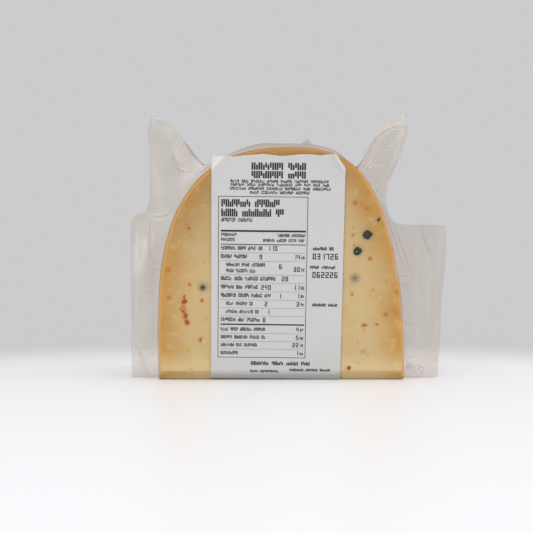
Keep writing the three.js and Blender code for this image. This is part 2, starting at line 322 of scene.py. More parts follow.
def spline(x, knots, values):
    """A smooth curve through the knots: on each stretch a cubic whose slopes are those between
    the knots on either side."""
    knots = np.asarray(knots, float)
    values = np.asarray(values, float)
    slope = np.gradient(values, knots)
    i = np.clip(np.searchsorted(knots, x) - 1, 0, len(knots) - 2)
    step = knots[i + 1] - knots[i]
    t = np.clip((x - knots[i]) / step, 0, 1)
    a = (1 + 2 * t) * (1 - t) ** 2
    b = t * (1 - t) ** 2 * step
    c = t * t * (3 - 2 * t)
    d = t * t * (t - 1) * step
    return a * values[i] + b * slope[i] + c * values[i + 1] + d * slope[i + 1]


def to_segment(x, z, start, end):
    """Distance from points to a straight stretch in the X, Z plane."""
    ax, az = start
    bx, bz = end
    along = ((x - ax) * (bx - ax) + (z - az) * (bz - az)) / ((bx - ax) ** 2 + (bz - az) ** 2)
    along = np.clip(along, 0, 1)
    return np.hypot(x - ax - along * (bx - ax), z - az - along * (bz - az))


# ---------------------------------------------------------------- Meshes


def surface(name, grid, closed=True, layers=None):
    """A mesh over one grid of points (rings, columns, 3) in millimetres."""
    return joined_surfaces(name, grid[None], closed, layers)


def joined_surfaces(name, grids, closed=True, layers=None):
    """One mesh of several grids of the same shape (copies, rings, columns, 3) in millimetres.
    Points of a copy that coincide become one vertex, so a pole or a closed seam is welded and no
    face is empty. `closed` joins the last column to the first. `layers` are numbers for each
    point, kept as attributes."""
    copies, rings, columns, _ = grids.shape
    flat = grids.reshape(-1, 3)
    copy = np.repeat(np.arange(copies), rings * columns)[:, None]
    tagged = np.concatenate([np.round(flat, 5), copy], 1)
    _, first, joined = np.unique(tagged, axis=0, return_index=True, return_inverse=True)
    joined = joined.reshape(copies, rings, columns)
    right = np.roll(joined, -1, 2) if closed else joined[:, :, 1:]
    left = joined if closed else joined[:, :, :-1]
    quads = np.stack([left[:, :-1], left[:, 1:], right[:, 1:], right[:, :-1]], -1).reshape(-1, 4)
    kept = {key: values.reshape(-1)[first] for key, values in (layers or {}).items()}
    return mesh_of(name, flat[first], quads, kept)


def mesh_of(name, points, quads, layers):
    """A smooth mesh object from points in millimetres and faces of four corners, of which two
    neighbours may be the same point."""
    same = quads == np.roll(quads, -1, 1)
    full = quads[~same.any(1)]
    pinched = quads[same.sum(1) == 1]
    skip = same[same.sum(1) == 1].argmax(1)
    order = (skip[:, None] + np.arange(1, 4)) % 4
    triangles = np.take_along_axis(pinched, order, 1)
    corners = np.concatenate([full.ravel(), triangles.ravel()])
    counts = np.concatenate([np.full(len(full), 4), np.full(len(triangles), 3)])
    starts = np.concatenate([[0], np.cumsum(counts)[:-1]])
    mesh = bpy.data.meshes.new(name)
    mesh.vertices.add(len(points))
    mesh.vertices.foreach_set("co", (points * MM).astype(np.float32).ravel())
    mesh.loops.add(len(corners))
    mesh.loops.foreach_set("vertex_index", corners.astype(np.int32))
    mesh.polygons.add(len(counts))
    mesh.polygons.foreach_set("loop_start", starts.astype(np.int32))
    mesh.update(calc_edges=True)
    mesh.polygons.foreach_set("use_smooth", np.ones(len(counts), bool))
    for key, values in layers.items():
        layer = mesh.attributes.new(key, "FLOAT", "POINT")
        layer.data.foreach_set("value", values.astype(np.float32))
    mesh.validate()
    piece = bpy.data.objects.new(name, mesh)
    bpy.context.scene.collection.objects.link(piece)
    return piece


def thicken(piece, thickness, offset=0.0):
    """Gives a sheet its real thickness, in millimetres."""
    solid = piece.modifiers.new("thickness", "SOLIDIFY")
    solid.thickness = thickness * MM
    solid.offset = offset
    solid.use_even_offset = False
    return piece


def settle(piece, material, slot, *nodes):
    """Finishes a piece: its material and the body it rides on, with the CAD parts it replaces hidden. The
    slot, what it stands for, is not used.
    """
    piece.data.materials.append(material)
    if nodes:
        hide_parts(*nodes)
    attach(piece, "root")
    return piece


def nodes_named(start):
    """The CAD nodes whose names begin in this way."""
    return [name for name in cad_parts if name.startswith(start)]


# ---------------------------------------------------------------- Shader maths


class Value:
    """A shader socket that can be used in sums."""

    def __init__(self, shader, socket):
        self.shader = shader
        self.socket = socket

    def math(self, operation, *others, clamp=False):
        """A sum of this socket and others, as one Math node."""
        sockets = {0: self}
        sockets.update({i + 1: other for i, other in enumerate(others)})
        return self.shader.node("ShaderNodeMath", {"operation": operation, "use_clamp": clamp}, sockets)

    def __add__(self, other):
        return self.math("ADD", other)

    __radd__ = __add__

    def __mul__(self, other):
        return self.math("MULTIPLY", other)

    __rmul__ = __mul__

    def __sub__(self, other):
        return self.math("SUBTRACT", other)

    def __rsub__(self, other):
        return (self * -1) + other

    def __pow__(self, power):
        return self.math("POWER", power)

    def clamp(self):
        """Held between 0 and 1."""
        return self.math("ADD", 0.0, clamp=True)

    def ramp(self, low, high):
        """0 at low and 1 at high, smooth between."""
        return self.shader.node(
            "ShaderNodeMapRange",
            {"interpolation_type": "SMOOTHSTEP"},
            {"Value": self, "From Min": low, "From Max": high},
        )


class Shader:
    """A material's nodes, all added by one method."""

    def __init__(self, name):
        self.material = bpy.data.materials.new(name)
        self.material.use_nodes = True
        self.tree = self.material.node_tree
        self.tree.nodes.clear()

    def node(self, kind, settings=None, sockets=None, out=0):
        """Adds a node: its settings first, then the values or links of its sockets. Returns one
        of its outputs."""
        node = self.tree.nodes.new(kind)
        for key, value in (settings or {}).items():
            setattr(node, key, value)
        for key, value in (sockets or {}).items():
            if isinstance(value, Value):
                self.tree.links.new(value.socket, node.inputs[key])
            elif isinstance(value, (tuple, list)) and node.inputs[key].type == "RGBA":
                node.inputs[key].default_value = (*value, 1)
            else:
                node.inputs[key].default_value = value
        return None if out is None else Value(self, node.outputs[out])

    def place(self):
        """Where a point of the piece is, in metres."""
        return self.node("ShaderNodeTexCoord", out="Object")

    def axis(self, out):
        """One coordinate of a point, in metres: X, Y or Z."""
        return self.node("ShaderNodeSeparateXYZ", {}, {0: self.place()}, out=out)

    def layer(self, name):
        """Numbers kept on the mesh for each of its points."""
        return self.node("ShaderNodeAttribute", {"attribute_name": name}, out="Fac")

    def noise(self, scale, detail=3.0, rough=0.55, place=None, warp=0.0):
        """Cloudy noise around 0.5, with `scale` waves to the metre."""
        return self.node(
            "ShaderNodeTexNoise",
            {},
            {
                "Vector": place or self.place(),
                "Scale": scale,
                "Detail": detail,
                "Roughness": rough,
                "Distortion": warp,
            },
        )

    def mix(self, factor, a, b):
        """Colour a where the factor is 0 and b where it is 1."""
        return self.node("ShaderNodeMix", {"data_type": "RGBA"}, {0: factor, 6: a, 7: b}, out=2)

    def bump(self, height, strength, distance):
        """Normals of a surface that rises by a distance in millimetres where the height is 1."""
        return self.node(
            "ShaderNodeBump", {}, {"Height": height, "Strength": strength, "Distance": distance * MM}
        )

    def principled(self, base, rough, specular, normal=None, **others):
        """The surface shader, from what nearly every piece sets and other sockets by name."""
        sockets = {"Base Color": base, "Roughness": rough, "Specular IOR Level": specular, **others}
        if normal is not None:
            sockets["Normal"] = normal
        return self.node("ShaderNodeBsdfPrincipled", {}, sockets)

    def finish(self, surface):
        """Links the surface to the output and gives the material."""
        self.node("ShaderNodeOutputMaterial", {}, {"Surface": surface}, out=None)
        return self.material


# ---------------------------------------------------------------- Materials


def scaled(tone, by):
    """A colour made lighter or darker."""
    return tuple(by * part for part in tone)


def cheese_material(s):
    """Firm paste, darker and oilier towards the rind, with pinholes and fine curd grain."""
    m = Shader("cheese_paste")
    place = m.place()
    cloud = m.noise(38, 3, 0.6, place)
    grain = m.noise(420, 4, 0.65, place)
    blotch = m.noise(125, 4, 0.6, place, 0.6)
    dry = m.noise(95, 4, 0.65, place).ramp(0.35, 0.75)
    z = m.axis("Z")
    high = z.ramp(0.03, 0.115)
    left = 1 - m.axis("X").ramp(-0.045, -0.005)

    # `inset` is how far a point lies from the rind in millimetres; `ragged` is that with
    # uneven borders. The paste ripens over the outer 19 and the rind takes the last 1.7.
    inset = m.layer("inset")
    ragged = inset + (cloud - 0.5) * 12.0 + (blotch - 0.5) * 9.0
    rind = 1 - (ragged * 0.12 + inset * 0.88).ramp(0.0, 1.7)
    reach = 1.0 - high * (0.06 + left * 0.2) - left * 0.14
    ripe = (1 - (ragged * reach).ramp(0.0, 19.0)) ** 1.4

    # The cut face: ripe paste with mottles, pale curd, ochre speckles and a golden border.
    paste = m.mix(ripe * 0.95, tuple(s.paste), tuple(s.ripe))
    paste = m.mix(blotch.ramp(0.45, 0.68) * (0.16 + ripe * 0.5), paste, scaled(s.ripe, 0.9))
    pale = m.noise(190, 4, 0.65, place, 0.4).ramp(0.5, 0.7) * (0.2 + ripe * 0.3)
    paste = m.mix(pale, paste, (0.83, 0.68, 0.36))
    speckle = m.noise(720, 3, 0.6, place).ramp(0.5, 0.68) * (0.08 + ripe * 0.3)
    paste = m.mix(speckle, paste, (0.78, 0.46, 0.10))
    paste = m.mix((1 - ragged.ramp(0.5, 6.0)) * 0.4, paste, (0.72, 0.40, 0.055))

    # Painted highlight just above the bend of the nose, painted light at the very foot that lifts the shade
    # there, and painted shade up high, stronger on the left.
    painted_bend_highlight = z.ramp(0.0036, 0.0043) * (1 - z.ramp(0.0049, 0.014))
    foot = 1 - z.ramp(0.0004, 0.0022)
    paste = m.mix(painted_bend_highlight * 0.7 + foot * 0.45, paste, (0.90, 0.76, 0.42))
    # Painted shade: darker up high and on the left.
    paste = m.mix(high * (0.2 + left * 0.2), paste, (0.1, 0.085, 0.05))

    # The rind, with painted shade over the crown, and a painted highlight line where it turns into the face.
    skin = m.mix(dry * 0.5, tuple(s.rind), scaled(s.rind, 0.7))
    # Painted shade over the crown.
    skin = m.mix(high.ramp(0.8, 0.9) * 0.36, skin, (0.12, 0.05, 0.01))
    body = m.mix(rind * 0.85, paste, skin)
    # Painted highlight along the rind's edge, left out up high.
    line = inset.ramp(0.1, 0.6) * (1 - inset.ramp(0.7, 1.8)) * (0.1 + blotch * 0.6)
    body = m.mix(line * (1 - high.ramp(0.7, 0.84)), body, (0.90, 0.55, 0.17))

    # Spices: yellow grains, stains of oil, the dark of buried peppercorns, and painted shade round the whole
    # peppercorns and the bits.
    yellow = m.layer("grain") * (0.5 + m.noise(380, 2, 0.5, place) * 1.3)
    body = m.mix(yellow.ramp(0.15, 0.9) * 0.7, body, tuple(s.grain))
    oil = m.layer("oil") * (0.6 + m.noise(330, 2, 0.5, place) * 1.3)
    body = m.mix(oil.ramp(0.08, 0.72) * 0.85, body, tuple(s.oil))
    # The dark of buried peppercorns, with painted shade round the whole ones and the bits.
    pepper_dark_and_shade = m.layer("buried_pepper_and_shade") * (0.8 + m.noise(300, 2, 0.5, place) * 0.4)
    body = m.mix(pepper_dark_and_shade.ramp(0.05, 0.95) * 0.9, body, tuple(s.buried_pepper_and_shade))
    body = m.mix(pepper_dark_and_shade.ramp(0.8, 1.25) * 0.92, body, (0.013, 0.016, 0.013))

    # Pinholes: painted shade in each, and a dent in the bump.
    pits = m.node(
        "ShaderNodeTexVoronoi", {"feature": "F1"}, {"Vector": place, "Scale": 240, "Randomness": 1.0}
    )
    pinholes = (1 - pits.ramp(0.05, 0.19)) * m.noise(60, 2, 0.5, place).ramp(0.5, 0.66)
    body = m.mix(pinholes * 0.35, body, scaled(s.ripe, 0.5))
    height = grain * 0.35 + cloud * 0.5 + dry * rind * 0.7 - pinholes * 1.2
    under = {
        "IOR": 1.45,
        "Subsurface Weight": 0.18,
        "Subsurface Radius": (1.0, 0.62, 0.3),
        "Subsurface Scale": 2.2 * MM,
    }
    rough = 0.42 + grain * 0.18 + rind * 0.12
    return m.finish(m.principled(body, rough, 0.25, m.bump(height, 0.35, 0.35), **under))


def pepper_material(s):
    """Wrinkled black skin with pale specks on the ridges: a dusty bloom and painted glints."""
    m = Shader("peppercorn_skin")
    place = m.place()
    ridge = m.layer("ridge")
    dust = m.noise(1300, 3, 0.6, place)
    patchy = m.noise(520, 2, 0.5, place).ramp(0.5, 0.58)
    speck = dust.ramp(0.54, 0.60) * ridge.ramp(0.25, 0.6) * patchy
    skin = m.mix(ridge * 0.02, tuple(s.pepper), tuple(s.pepper_dust_and_glint))
    # Pale specks: dusty bloom and painted glints.
    skin = m.mix(speck * 0.9, skin, tuple(s.pepper_dust_and_glint))
    normal = m.bump(dust + ridge * 0.5, 0.4, 0.12)
    return m.finish(m.principled(skin, 0.35 + dust * 0.3, 0.12, normal))


def chili_material(s):
    """Dried chili: dark red skin to orange flesh, glossy with oil."""
    m = Shader("chili_skin")
    vein = m.noise(1300, 4, 0.6, m.place(), 0.6)
    redness = (m.layer("redness") + (vein - 0.5) * 0.9).clamp()
    skin = m.mix(redness, tuple(s.orange), tuple(s.red))
    skin = m.mix(vein.ramp(0.55, 0.8) * 0.4, skin, (0.72, 0.34, 0.08))
    return m.finish(m.principled(skin, 0.35 + vein * 0.25, 0.15, m.bump(vein, 0.5, 0.15)))


def film_material(s):
    """Clear film: see-through where it is square on, shiny at a slant, and milky where it is doubled,
    welded or creased, with painted highlights in white along its creases and bends."""
    m = Shader("vacuum_film")
    place = m.place()
    haze = m.layer("haze")
    whitening_and_highlight = m.layer("whitening_and_highlight")
    wrinkle = m.noise(70, 4, 0.55, place, 0.4)
    streak = m.noise(210, 3, 0.6, place, 0.2)
    slant = m.node("ShaderNodeLayerWeight", {}, {"Blend": 0.2}, out=0)
    cloudy = haze * (0.3 + wrinkle * 1.4)
    cover = s.haze + slant * 0.04 + cloudy * 0.8 + whitening_and_highlight * (0.35 + streak * 1.1)
    milk = (haze * 2.4 + whitening_and_highlight * 0.9).clamp()
    # Crease whitening and painted highlights turn the film white.
    tint = m.mix(whitening_and_highlight, tuple(s.tint), (0.97, 0.97, 0.96))
    rough = s.roughness + streak * 0.10 + milk * 0.15
    normal = m.bump(wrinkle * 0.8 + streak * 0.2, 0.3, 0.4)
    shiny = m.principled(tint, rough, 0.7, normal, Metallic=0.85 - milk * 0.85)
    clear = m.node("ShaderNodeBsdfTransparent", {}, {"Color": (0.967, 0.949, 0.933)})
    return m.finish(m.node("ShaderNodeMixShader", {}, {0: cover.clamp(), 1: clear, 2: shiny}))


def paper_material(s):
    """Thermal label stock: nearly smooth, faintly fibrous, with painted light where its corner is bent back
    and painted shade where it turns under at the foot."""
    m = Shader("label_paper")
    place = m.place()
    fibre = m.noise(900, 4, 0.7, place, 0.3)
    patch = m.noise(45, 3, 0.55, place)
    z = m.axis("Z")
    # Painted shade: grey over the foot where the paper turns under, and a darker line where that bend
    # starts.
    low = 1 - z.ramp(0.0020, 0.0041)
    crease = z.ramp(0.0034, 0.0037) * (1 - z.ramp(0.0039, 0.0043))
    base = m.mix(patch.ramp(0.35, 0.75) * 0.35, tuple(s.paper), scaled(s.paper, 0.93))
    # Painted light on the bent-back upper left corner.
    base = m.mix(m.layer("painted_flap_light") * 0.75, base, (0.80, 0.79, 0.775))
    base = m.mix((low * 0.56 + crease * 0.25).clamp(), base, (0.30, 0.29, 0.27))
    base = m.mix(fibre.ramp(0.5, 0.8) * 0.2, base, scaled(s.paper, 1.06))
    normal = m.bump(fibre * 0.4 + patch, 0.25, 0.25)
    return m.finish(m.principled(base, 0.5 + fibre * 0.12, 0.35, normal))


def ink_material(s):
    """Thermal print: dark grey, a little broken up."""
    m = Shader("label_ink")
    speck = m.noise(1500, 3, 0.7)
    tone = m.mix(speck.ramp(0.45, 0.8) * 0.5, tuple(s.ink), (0.10, 0.10, 0.105))
    return m.finish(m.principled(tone, 0.5 + speck * 0.2, 0.3))


def floor_material(s):
    """Pale floor with a soft sheen that fades into the light round it."""
    m = Shader("studio_floor")
    place = m.place()
    far = m.node("ShaderNodeVectorMath", {"operation": "DISTANCE"}, {0: place, 1: (0, -0.12, 0)}, out=1)
    fade = far.ramp(s.floor_radius * 0.28, s.floor_radius * 0.5)
    tone = m.mix(m.noise(14, 2, 0.5, place) * 0.05, tuple(s.floor), (0.88, 0.88, 0.9))
    pale = m.principled(tone, 0.38, 0.5)
    clear = m.node("ShaderNodeBsdfTransparent", {}, {"Color": (1, 1, 1)})
    return m.finish(m.node("ShaderNodeMixShader", {}, {0: fade, 1: pale, 2: clear}))


# ---------------------------------------------------------------- The wedge's own shape


class Wedge:
    """The shape that the cheese, the film and the label share.

    Seen face on, each side is the curve across = half cos(t)^(2/side), up = reach
    sin(t)^(2/crown). An arc rounds each lower corner and a straight line closes the nose. The
    cut faces turn about the wheel's axis, which lies below the nose where they would meet."""

    MIDDLE = np.array([0.0, 45.0])

    def __init__(self, settings):
        self.s = Sizes(settings)
        s = self.s
        self.axis = s.nose / 2 / math.tan(s.lean)
        self.half = s.width / 2
        self.facing = np.array([0, -math.cos(s.lean), -math.sin(s.lean)])
        self.rising = np.array([0, -math.sin(s.lean), math.cos(s.lean)])

    def path(self):
        """The outline as many points, from the middle of the nose, right, over the crown and back."""
        s = self.s
        t = math.pi / 2 * smooth(np.linspace(0, 1, 1600))
        turn = np.linspace(-math.pi / 2, 0, 60)
        corner = np.stack(
            [
                self.half - s.corner_round * (1 - np.cos(turn)),
                s.corner_round * (1 + np.sin(turn)),
            ],
            1,
        )
        sides = []
        for side, crown in ((s.right_side, s.right_crown), (s.left_side, s.left_crown)):
            curve = np.stack(
                [self.half * np.cos(t) ** (2 / side), s.reach * np.sin(t) ** (2 / crown)], 1
            )
            sides.append(np.concatenate([[(0, 0)], corner, curve[curve[:, 1] > s.corner_round]]))
        right, left = sides
        return np.concatenate([right, (left * (-1, 1))[::-1][1:-1]])

    def outward(self, path):
        """The direction out of the outline at each of its points."""
        along = np.roll(path, -1, 0) - np.roll(path, 1, 0)
        along = along / np.linalg.norm(along, axis=1, keepdims=True)
        return np.stack([along[:, 1], -along[:, 0]], 1)

    def spread(self, path, weight, columns):
        """Places along the path for the grid's columns, closer together where the weight is high."""
        step = np.linalg.norm(np.roll(path, -1, 0) - path, axis=1)
        total = np.concatenate([[0], np.cumsum(step * (weight + np.roll(weight, -1)) / 2)])
        wanted = np.linspace(0, total[-1], columns, endpoint=False)
        return np.interp(wanted, total, np.arange(len(path) + 1))

    def pick(self, values, places):
        """Values on the closed path, read at places between its points."""
        low = np.floor(places).astype(int) % len(values)
        part = (places - np.floor(places))[:, None]
        return values[low] * (1 - part) + values[(low + 1) % len(values)] * part

    def corner_weight(self, path):
        """More columns at the two lower corners."""
        corner = np.array([self.half, 0])
        return 1 + 3 * hump(np.linalg.norm(np.abs(path) - corner, axis=1), 5)

    def rounding(self, out):
        """Radius of the edge between face and rind: widest along the nose."""
        low = np.clip(-out[:, 1], 0, 1) ** 2
        return self.s.edge_round + (self.s.nose_round - self.s.edge_round) * low

    def place(self, across, up, angle):
        """A point turned about the axis by an angle. Near the nose the circle gives way to a flat."""
        rho = self.axis + up
        flat = 1 - smooth(up / 25)
        radius = rho * ((1 - flat) + flat / np.cos(angle))
        y = radius * np.sin(angle)
        z = radius * np.cos(angle) - self.axis + self.s.base
        return np.stack(np.broadcast_arrays(across, y, z), -1)

    def uneven(self, across, up, side):
        """How far the pressed and cut cheese swells, in millimetres, with none at the nose."""
        p = np.stack([across, up, np.zeros_like(across) + side * 40], -1)
        return smooth(up / 9) * (0.2 * ripple(p, 34, 1.3) + 0.06 * ripple(p, 11, 4.1))

    def foot(self, up):
        """1 at the very foot and 0 from 1.6 mm up: where the nose is drawn down to the floor."""
        return smooth((1.6 - up) / 1.2)

    def skin(self, path, out, side, rows, grow):
        """Half of the surface, from the middle of a cut face to the middle of the rind.

        Face rows run from the middle to the start of the rounding. On the rounding, at turn f,
        the inset is r (1 - sin(f)^j) - g sin f and the depth below the face is d (1 - cos(f)^k)
        - g cos f. Round the rind j and k are 1 and d is r. Along the nose j is 1.35, k is 1.95
        and d is 0.6 r: it bends softly out of the face and comes straight down to an edge. On
        the rind the depth goes on to the middle plane. `grow` gives g from across, up and the
        share of the rind. Returns the points and how far in from the outline they lie."""
        radius = self.rounding(out)
        low = np.clip(-out[:, 1], 0, 1) ** 2
        bend = 1 + 0.35 * low
        edge = 1 + 0.95 * low
        deep = radius * (1 - 0.4 * low)
        toward = self.MIDDLE - path
        span = np.linalg.norm(toward, axis=1)
        toward = toward / span[:, None]
        slant = -(toward * out).sum(1)
        face, turn, band = rows
        rim = path + toward * (radius / slant)[:, None]
        share = np.linspace(0, 1, face + 1)[:-1, None] ** 0.82
        flat = self.MIDDLE + (rim - self.MIDDLE) * share[..., None]
        parts = []
        g = grow(flat[..., 0], flat[..., 1], np.zeros_like(share))
        angle = self.s.lean + g / (self.axis + flat[..., 1])
        inset = radius + (1 - share) * np.linalg.norm(rim - self.MIDDLE, axis=1) * slant
        parts.append((flat, angle, inset))
        f = np.linspace(0, math.pi / 2, turn + 1)[:-1, None]
        at = rim + (path - rim) * (f / (math.pi / 2))[..., None]
        g = grow(at[..., 0], at[..., 1], np.zeros_like(f))
        q = radius * (1 - np.sin(f) ** bend) - g * np.sin(f)
        depth = deep * (1 - np.cos(f) ** edge) - g * np.cos(f)
        at = path + toward * (q / slant)[..., None]
        parts.append((at, self.s.lean - depth / (self.axis + at[..., 1]), q))
        f = np.linspace(0, 1, band + 1)[:, None]
        g = grow(path[:, 0] + 0 * f, path[:, 1] + 0 * f, f)
        at = path - toward * (g / slant)[..., None]
        reach = self.s.lean - deep / (self.axis + path[:, 1])
        parts.append((at, reach * (1 - f), -g - f * 20))
        whole = []
        for each in zip(*parts):
            full = [np.broadcast_to(part, at.shape[: part.ndim]) for part, (at, _, _) in zip(each, parts)]
            whole.append(np.concatenate(full))
        at, angle, inset = whole
        return self.place(at[..., 0], at[..., 1], angle * side), inset

    def from_rind(self, points, path, inset):
        """How far each point lies from the rind: the shortest distance to the curved part of the
        outline, seen face on. On the rind itself it is below zero."""
        up = np.hypot(points[..., 1], points[..., 2] + self.axis - self.s.base) - self.axis
        flat = np.stack([points[..., 0], up], -1)
        curve = path[path[:, 1] > 0.6 * self.s.corner_round]
        shortest = np.full(up.shape, 1e3)
        for part in np.array_split(curve, 24):
            gap = flat[..., None, :] - part
            shortest = np.minimum(shortest, np.hypot(gap[..., 0], gap[..., 1]).min(-1))
        on_rind = (inset < 0) & (shortest < 1.5)
        return np.where(on_rind, inset, shortest)

    def on_face(self, across, height, side, lift=0.0):
        """A point on a cut face, `height` up it from the nose. The back face is numbered as it is
        seen from behind, so its across runs the other way."""
        grown = self.uneven(np.asarray(across, float) * -side, np.asarray(height, float), side)
        up = np.stack([np.zeros_like(grown), self.rising[1] * height, self.rising[2] * height], -1)
        point = up + np.multiply.outer(lift + grown, self.facing)
        point = point + np.array([0, -self.s.nose / 2, self.s.base])
        point[..., 0] += across
        if side > 0:
            point = point * (-1, -1, 1)
        return point


# ---------------------------------------------------------------- The cheese


def marks(points, spots, wedge, side):
    """The strongest of many soft spots at each point: strength times a bell of its radius."""
    strongest = np.zeros(points.shape[:-1])
    for across, height, radius, strength in spots:
        middle = wedge.on_face(across, height, side)
        away = np.linalg.norm(points - middle, axis=-1)
        strongest = np.maximum(strongest, strength * hump(away, radius))
    return strongest


def oil_spots(flakes, stains):
    """Oil round each chili flake, and the stains that stand alone."""
    spots = [(x, h, 1.1 * max(a, b) + 0.4, 0.42 + 0.1 * red) for x, h, a, b, _, red in flakes]
    return spots + stains


def dark_spots(corns, buried, bits):
    """Painted shade round the whole peppercorns and the bits, and what shows of those under the surface."""
    spots = [(x, h, 2.7, 0.66) for x, h, _ in buried]
    spots += [(x, h, 0.95 * size, 0.05 + 0.9 * size) for x, h, size in buried]
    # Painted shade round each whole peppercorn and, below, round each bit.
    spots += [(x, h, size, 0.7) for x, h, size in corns]
    for x, h, a, b, _ in bits:
        spots += [(x, h + end * b, 0.35 + 0.8 * a, 0.5) for end in (-0.6, 0.6)]
    return spots


class CHEESE_OT_wedge(bpy.types.Operator):
    """The wedge of cheese: both cut faces, the rounded edges and the rind in one closed surface"""

    bl_idname = "cheese.wedge"
    bl_label = "Cheese wedge"

    DOWN = 0.48  # how far the foot comes down towards the floor, in millimetres

    def execute(self, context):
        wedge = Wedge(context.scene.cheese_wedge)
        path = wedge.path()
        places = wedge.spread(path, wedge.corner_weight(path), 470)
        out = wedge.pick(wedge.outward(path), places)
        path = wedge.pick(path, places)
        halves = []
        front_dark = dark_spots(FRONT_CORNS, FRONT_BURIED, FRONT_BITS)
        back_dark = dark_spots(BACK_CORNS, BACK_BURIED, BACK_BITS)
        for side, oil, dark, yellow in (
            (-1, oil_spots(FRONT_FLAKES, FRONT_STAINS), front_dark, FRONT_GRAINS),
            (1, oil_spots(BACK_FLAKES, BACK_STAINS), back_dark, BACK_GRAINS),
        ):
            points, inset = wedge.skin(
                path,
                out,
                side,
                (66, 10, 10),
                lambda x, up, f: wedge.uneven(x, up, side * (1 - f)) + self.DOWN * wedge.foot(up),
            )
            halves.append(
                (
                    points,
                    wedge.from_rind(points, path, inset),
                    marks(points, oil, wedge, side),
                    marks(points, dark, wedge, side),
                    marks(points, [(x, h, r, 1.0) for x, h, r in yellow], wedge, side),
                )
            )
        front, back = halves
        whole = [np.concatenate([a, b[::-1][1:]]) for a, b in zip(front, back)]
        layers = {"inset": whole[1], "oil": whole[2], "buried_pepper_and_shade": whole[3], "grain": whole[4]}
        piece = surface("cheese_wedge", whole[0], layers=layers)
        settle(piece, cheese_material(context.scene.cheese_wedge), "cheese", "cheese")
        return {"FINISHED"}


# ---------------------------------------------------------------- The spices


def pebble(rings, columns, seed):
    """A peppercorn of radius 1: a ball whose radius swells and creases with a net of wrinkles.
    Returns its points and how near each lies to the top of a ridge."""
    polar = np.linspace(0, math.pi, rings)[:, None]
    around = np.linspace(0, 2 * math.pi, columns, endpoint=False)[None]
    ball = np.stack(
        [
            np.sin(polar) * np.cos(around),
            np.sin(polar) * np.sin(around),
            np.cos(polar) + 0 * around,
        ],
        -1,
    )
    wide = ripple(ball, 1.15, seed)
    net = 1 - np.abs(ripple(ball + 0.12 * wide[..., None], 0.62, seed + 5.0)) * 2.2
    fine = ripple(ball, 0.3, seed + 9.0)
    radius = 1 + 0.045 * wide + 0.065 * np.clip(net, -0.7, 1) + 0.03 * fine
    ridge = np.clip(0.5 + 0.5 * net + 0.2 * fine, 0, 1)
    pole = (np.arange(rings) % (rings - 1) == 0)[:, None]
    radius = np.where(pole, radius.mean(1, keepdims=True), radius)
    return ball * radius[..., None] * np.array([1, 1, 0.94]), ridge


class CHEESE_OT_pepper(bpy.types.Operator):
    """Peppercorns and broken bits of peppercorn, set in both cut faces"""

    bl_idname = "cheese.pepper"
    bl_label = "Peppercorns"

    def execute(self, context):
        wedge = Wedge(context.scene.cheese_wedge)
        spice = Sizes(context.scene.cheese_spice)
        material = pepper_material(context.scene.cheese_spice)
        for word, side, whole, buried, bits in (
            ("front", -1, FRONT_CORNS, FRONT_BURIED, FRONT_BITS),
            ("back", 1, BACK_CORNS, BACK_BURIED, BACK_BITS),
        ):
            self.add_corns(wedge, spice, material, word, side, whole, buried)
            self.add_bits(wedge, material, word, side, bits)
        return {"FINISHED"}

    def add_corns(self, wedge, spice, material, word, side, whole, buried):
        """Whole ones stand a little proud; the buried ones lie just under the paste."""
        grids, ridges = [], []
        corns = [(x, h, r, spice.proud) for x, h, r in whole]
        corns += [(x, h, 2.0, -0.3) for x, h, _ in buried]
        for k, (across, height, radius, proud) in enumerate(corns):
            ball, ridge = pebble(30, 44, 1.0 + 3.1 * k + side)
            middle = wedge.on_face(across, height, side, proud - radius)
            grids.append(ball * radius + middle)
            ridges.append(ridge)
        layers = {"ridge": np.stack(ridges)}
        piece = joined_surfaces(f"peppercorns_{word}", np.stack(grids), layers=layers)
        settle(piece, material, "peppercorn", *nodes_named(f"peppercorn_{word}"))

    def add_bits(self, wedge, material, word, side, bits):
        """Angular crumbs: a wrinkled ball squeezed to its own width and height and turned."""
        grids, ridges = [], []
        for k, (across, height, wide, tall, lean) in enumerate(bits):
            ball, ridge = pebble(16, 22, 7.0 + 2.3 * k + side)
            ball = np.sign(ball) * np.abs(ball) ** 0.85
            crumb = turned(ball * np.array([wide, tall, 0.45]), lean)
            grids.append(on_surface(wedge, crumb, across, height, side, 0.2 * min(wide, 1.0) - 0.56))
            ridges.append(ridge)
        layers = {"ridge": np.stack(ridges)}
        piece = joined_surfaces(f"pepper_bits_{word}", np.stack(grids), layers=layers)
        settle(piece, material, "peppercorn", *nodes_named(f"pepper_bit_{word}"))


def turned(points, lean):
    """Points turned in their own flat plane, anticlockwise, by degrees."""
    c, s = math.cos(math.radians(lean)), math.sin(math.radians(lean))
    x, y, z = points[..., 0], points[..., 1], points[..., 2]
    return np.stack([c * x - s * y, s * x + c * y, z], -1)


def on_surface(wedge, points, across, height, side, lift):
    """Small local shapes (across, up, out) set at a place on a cut face."""
    middle = wedge.on_face(across, height, side, lift)
    axes = np.stack([np.array([1.0, 0, 0]), wedge.rising, wedge.facing])
    if side > 0:
        axes = axes * (-1, -1, 1)
    return middle + points @ axes


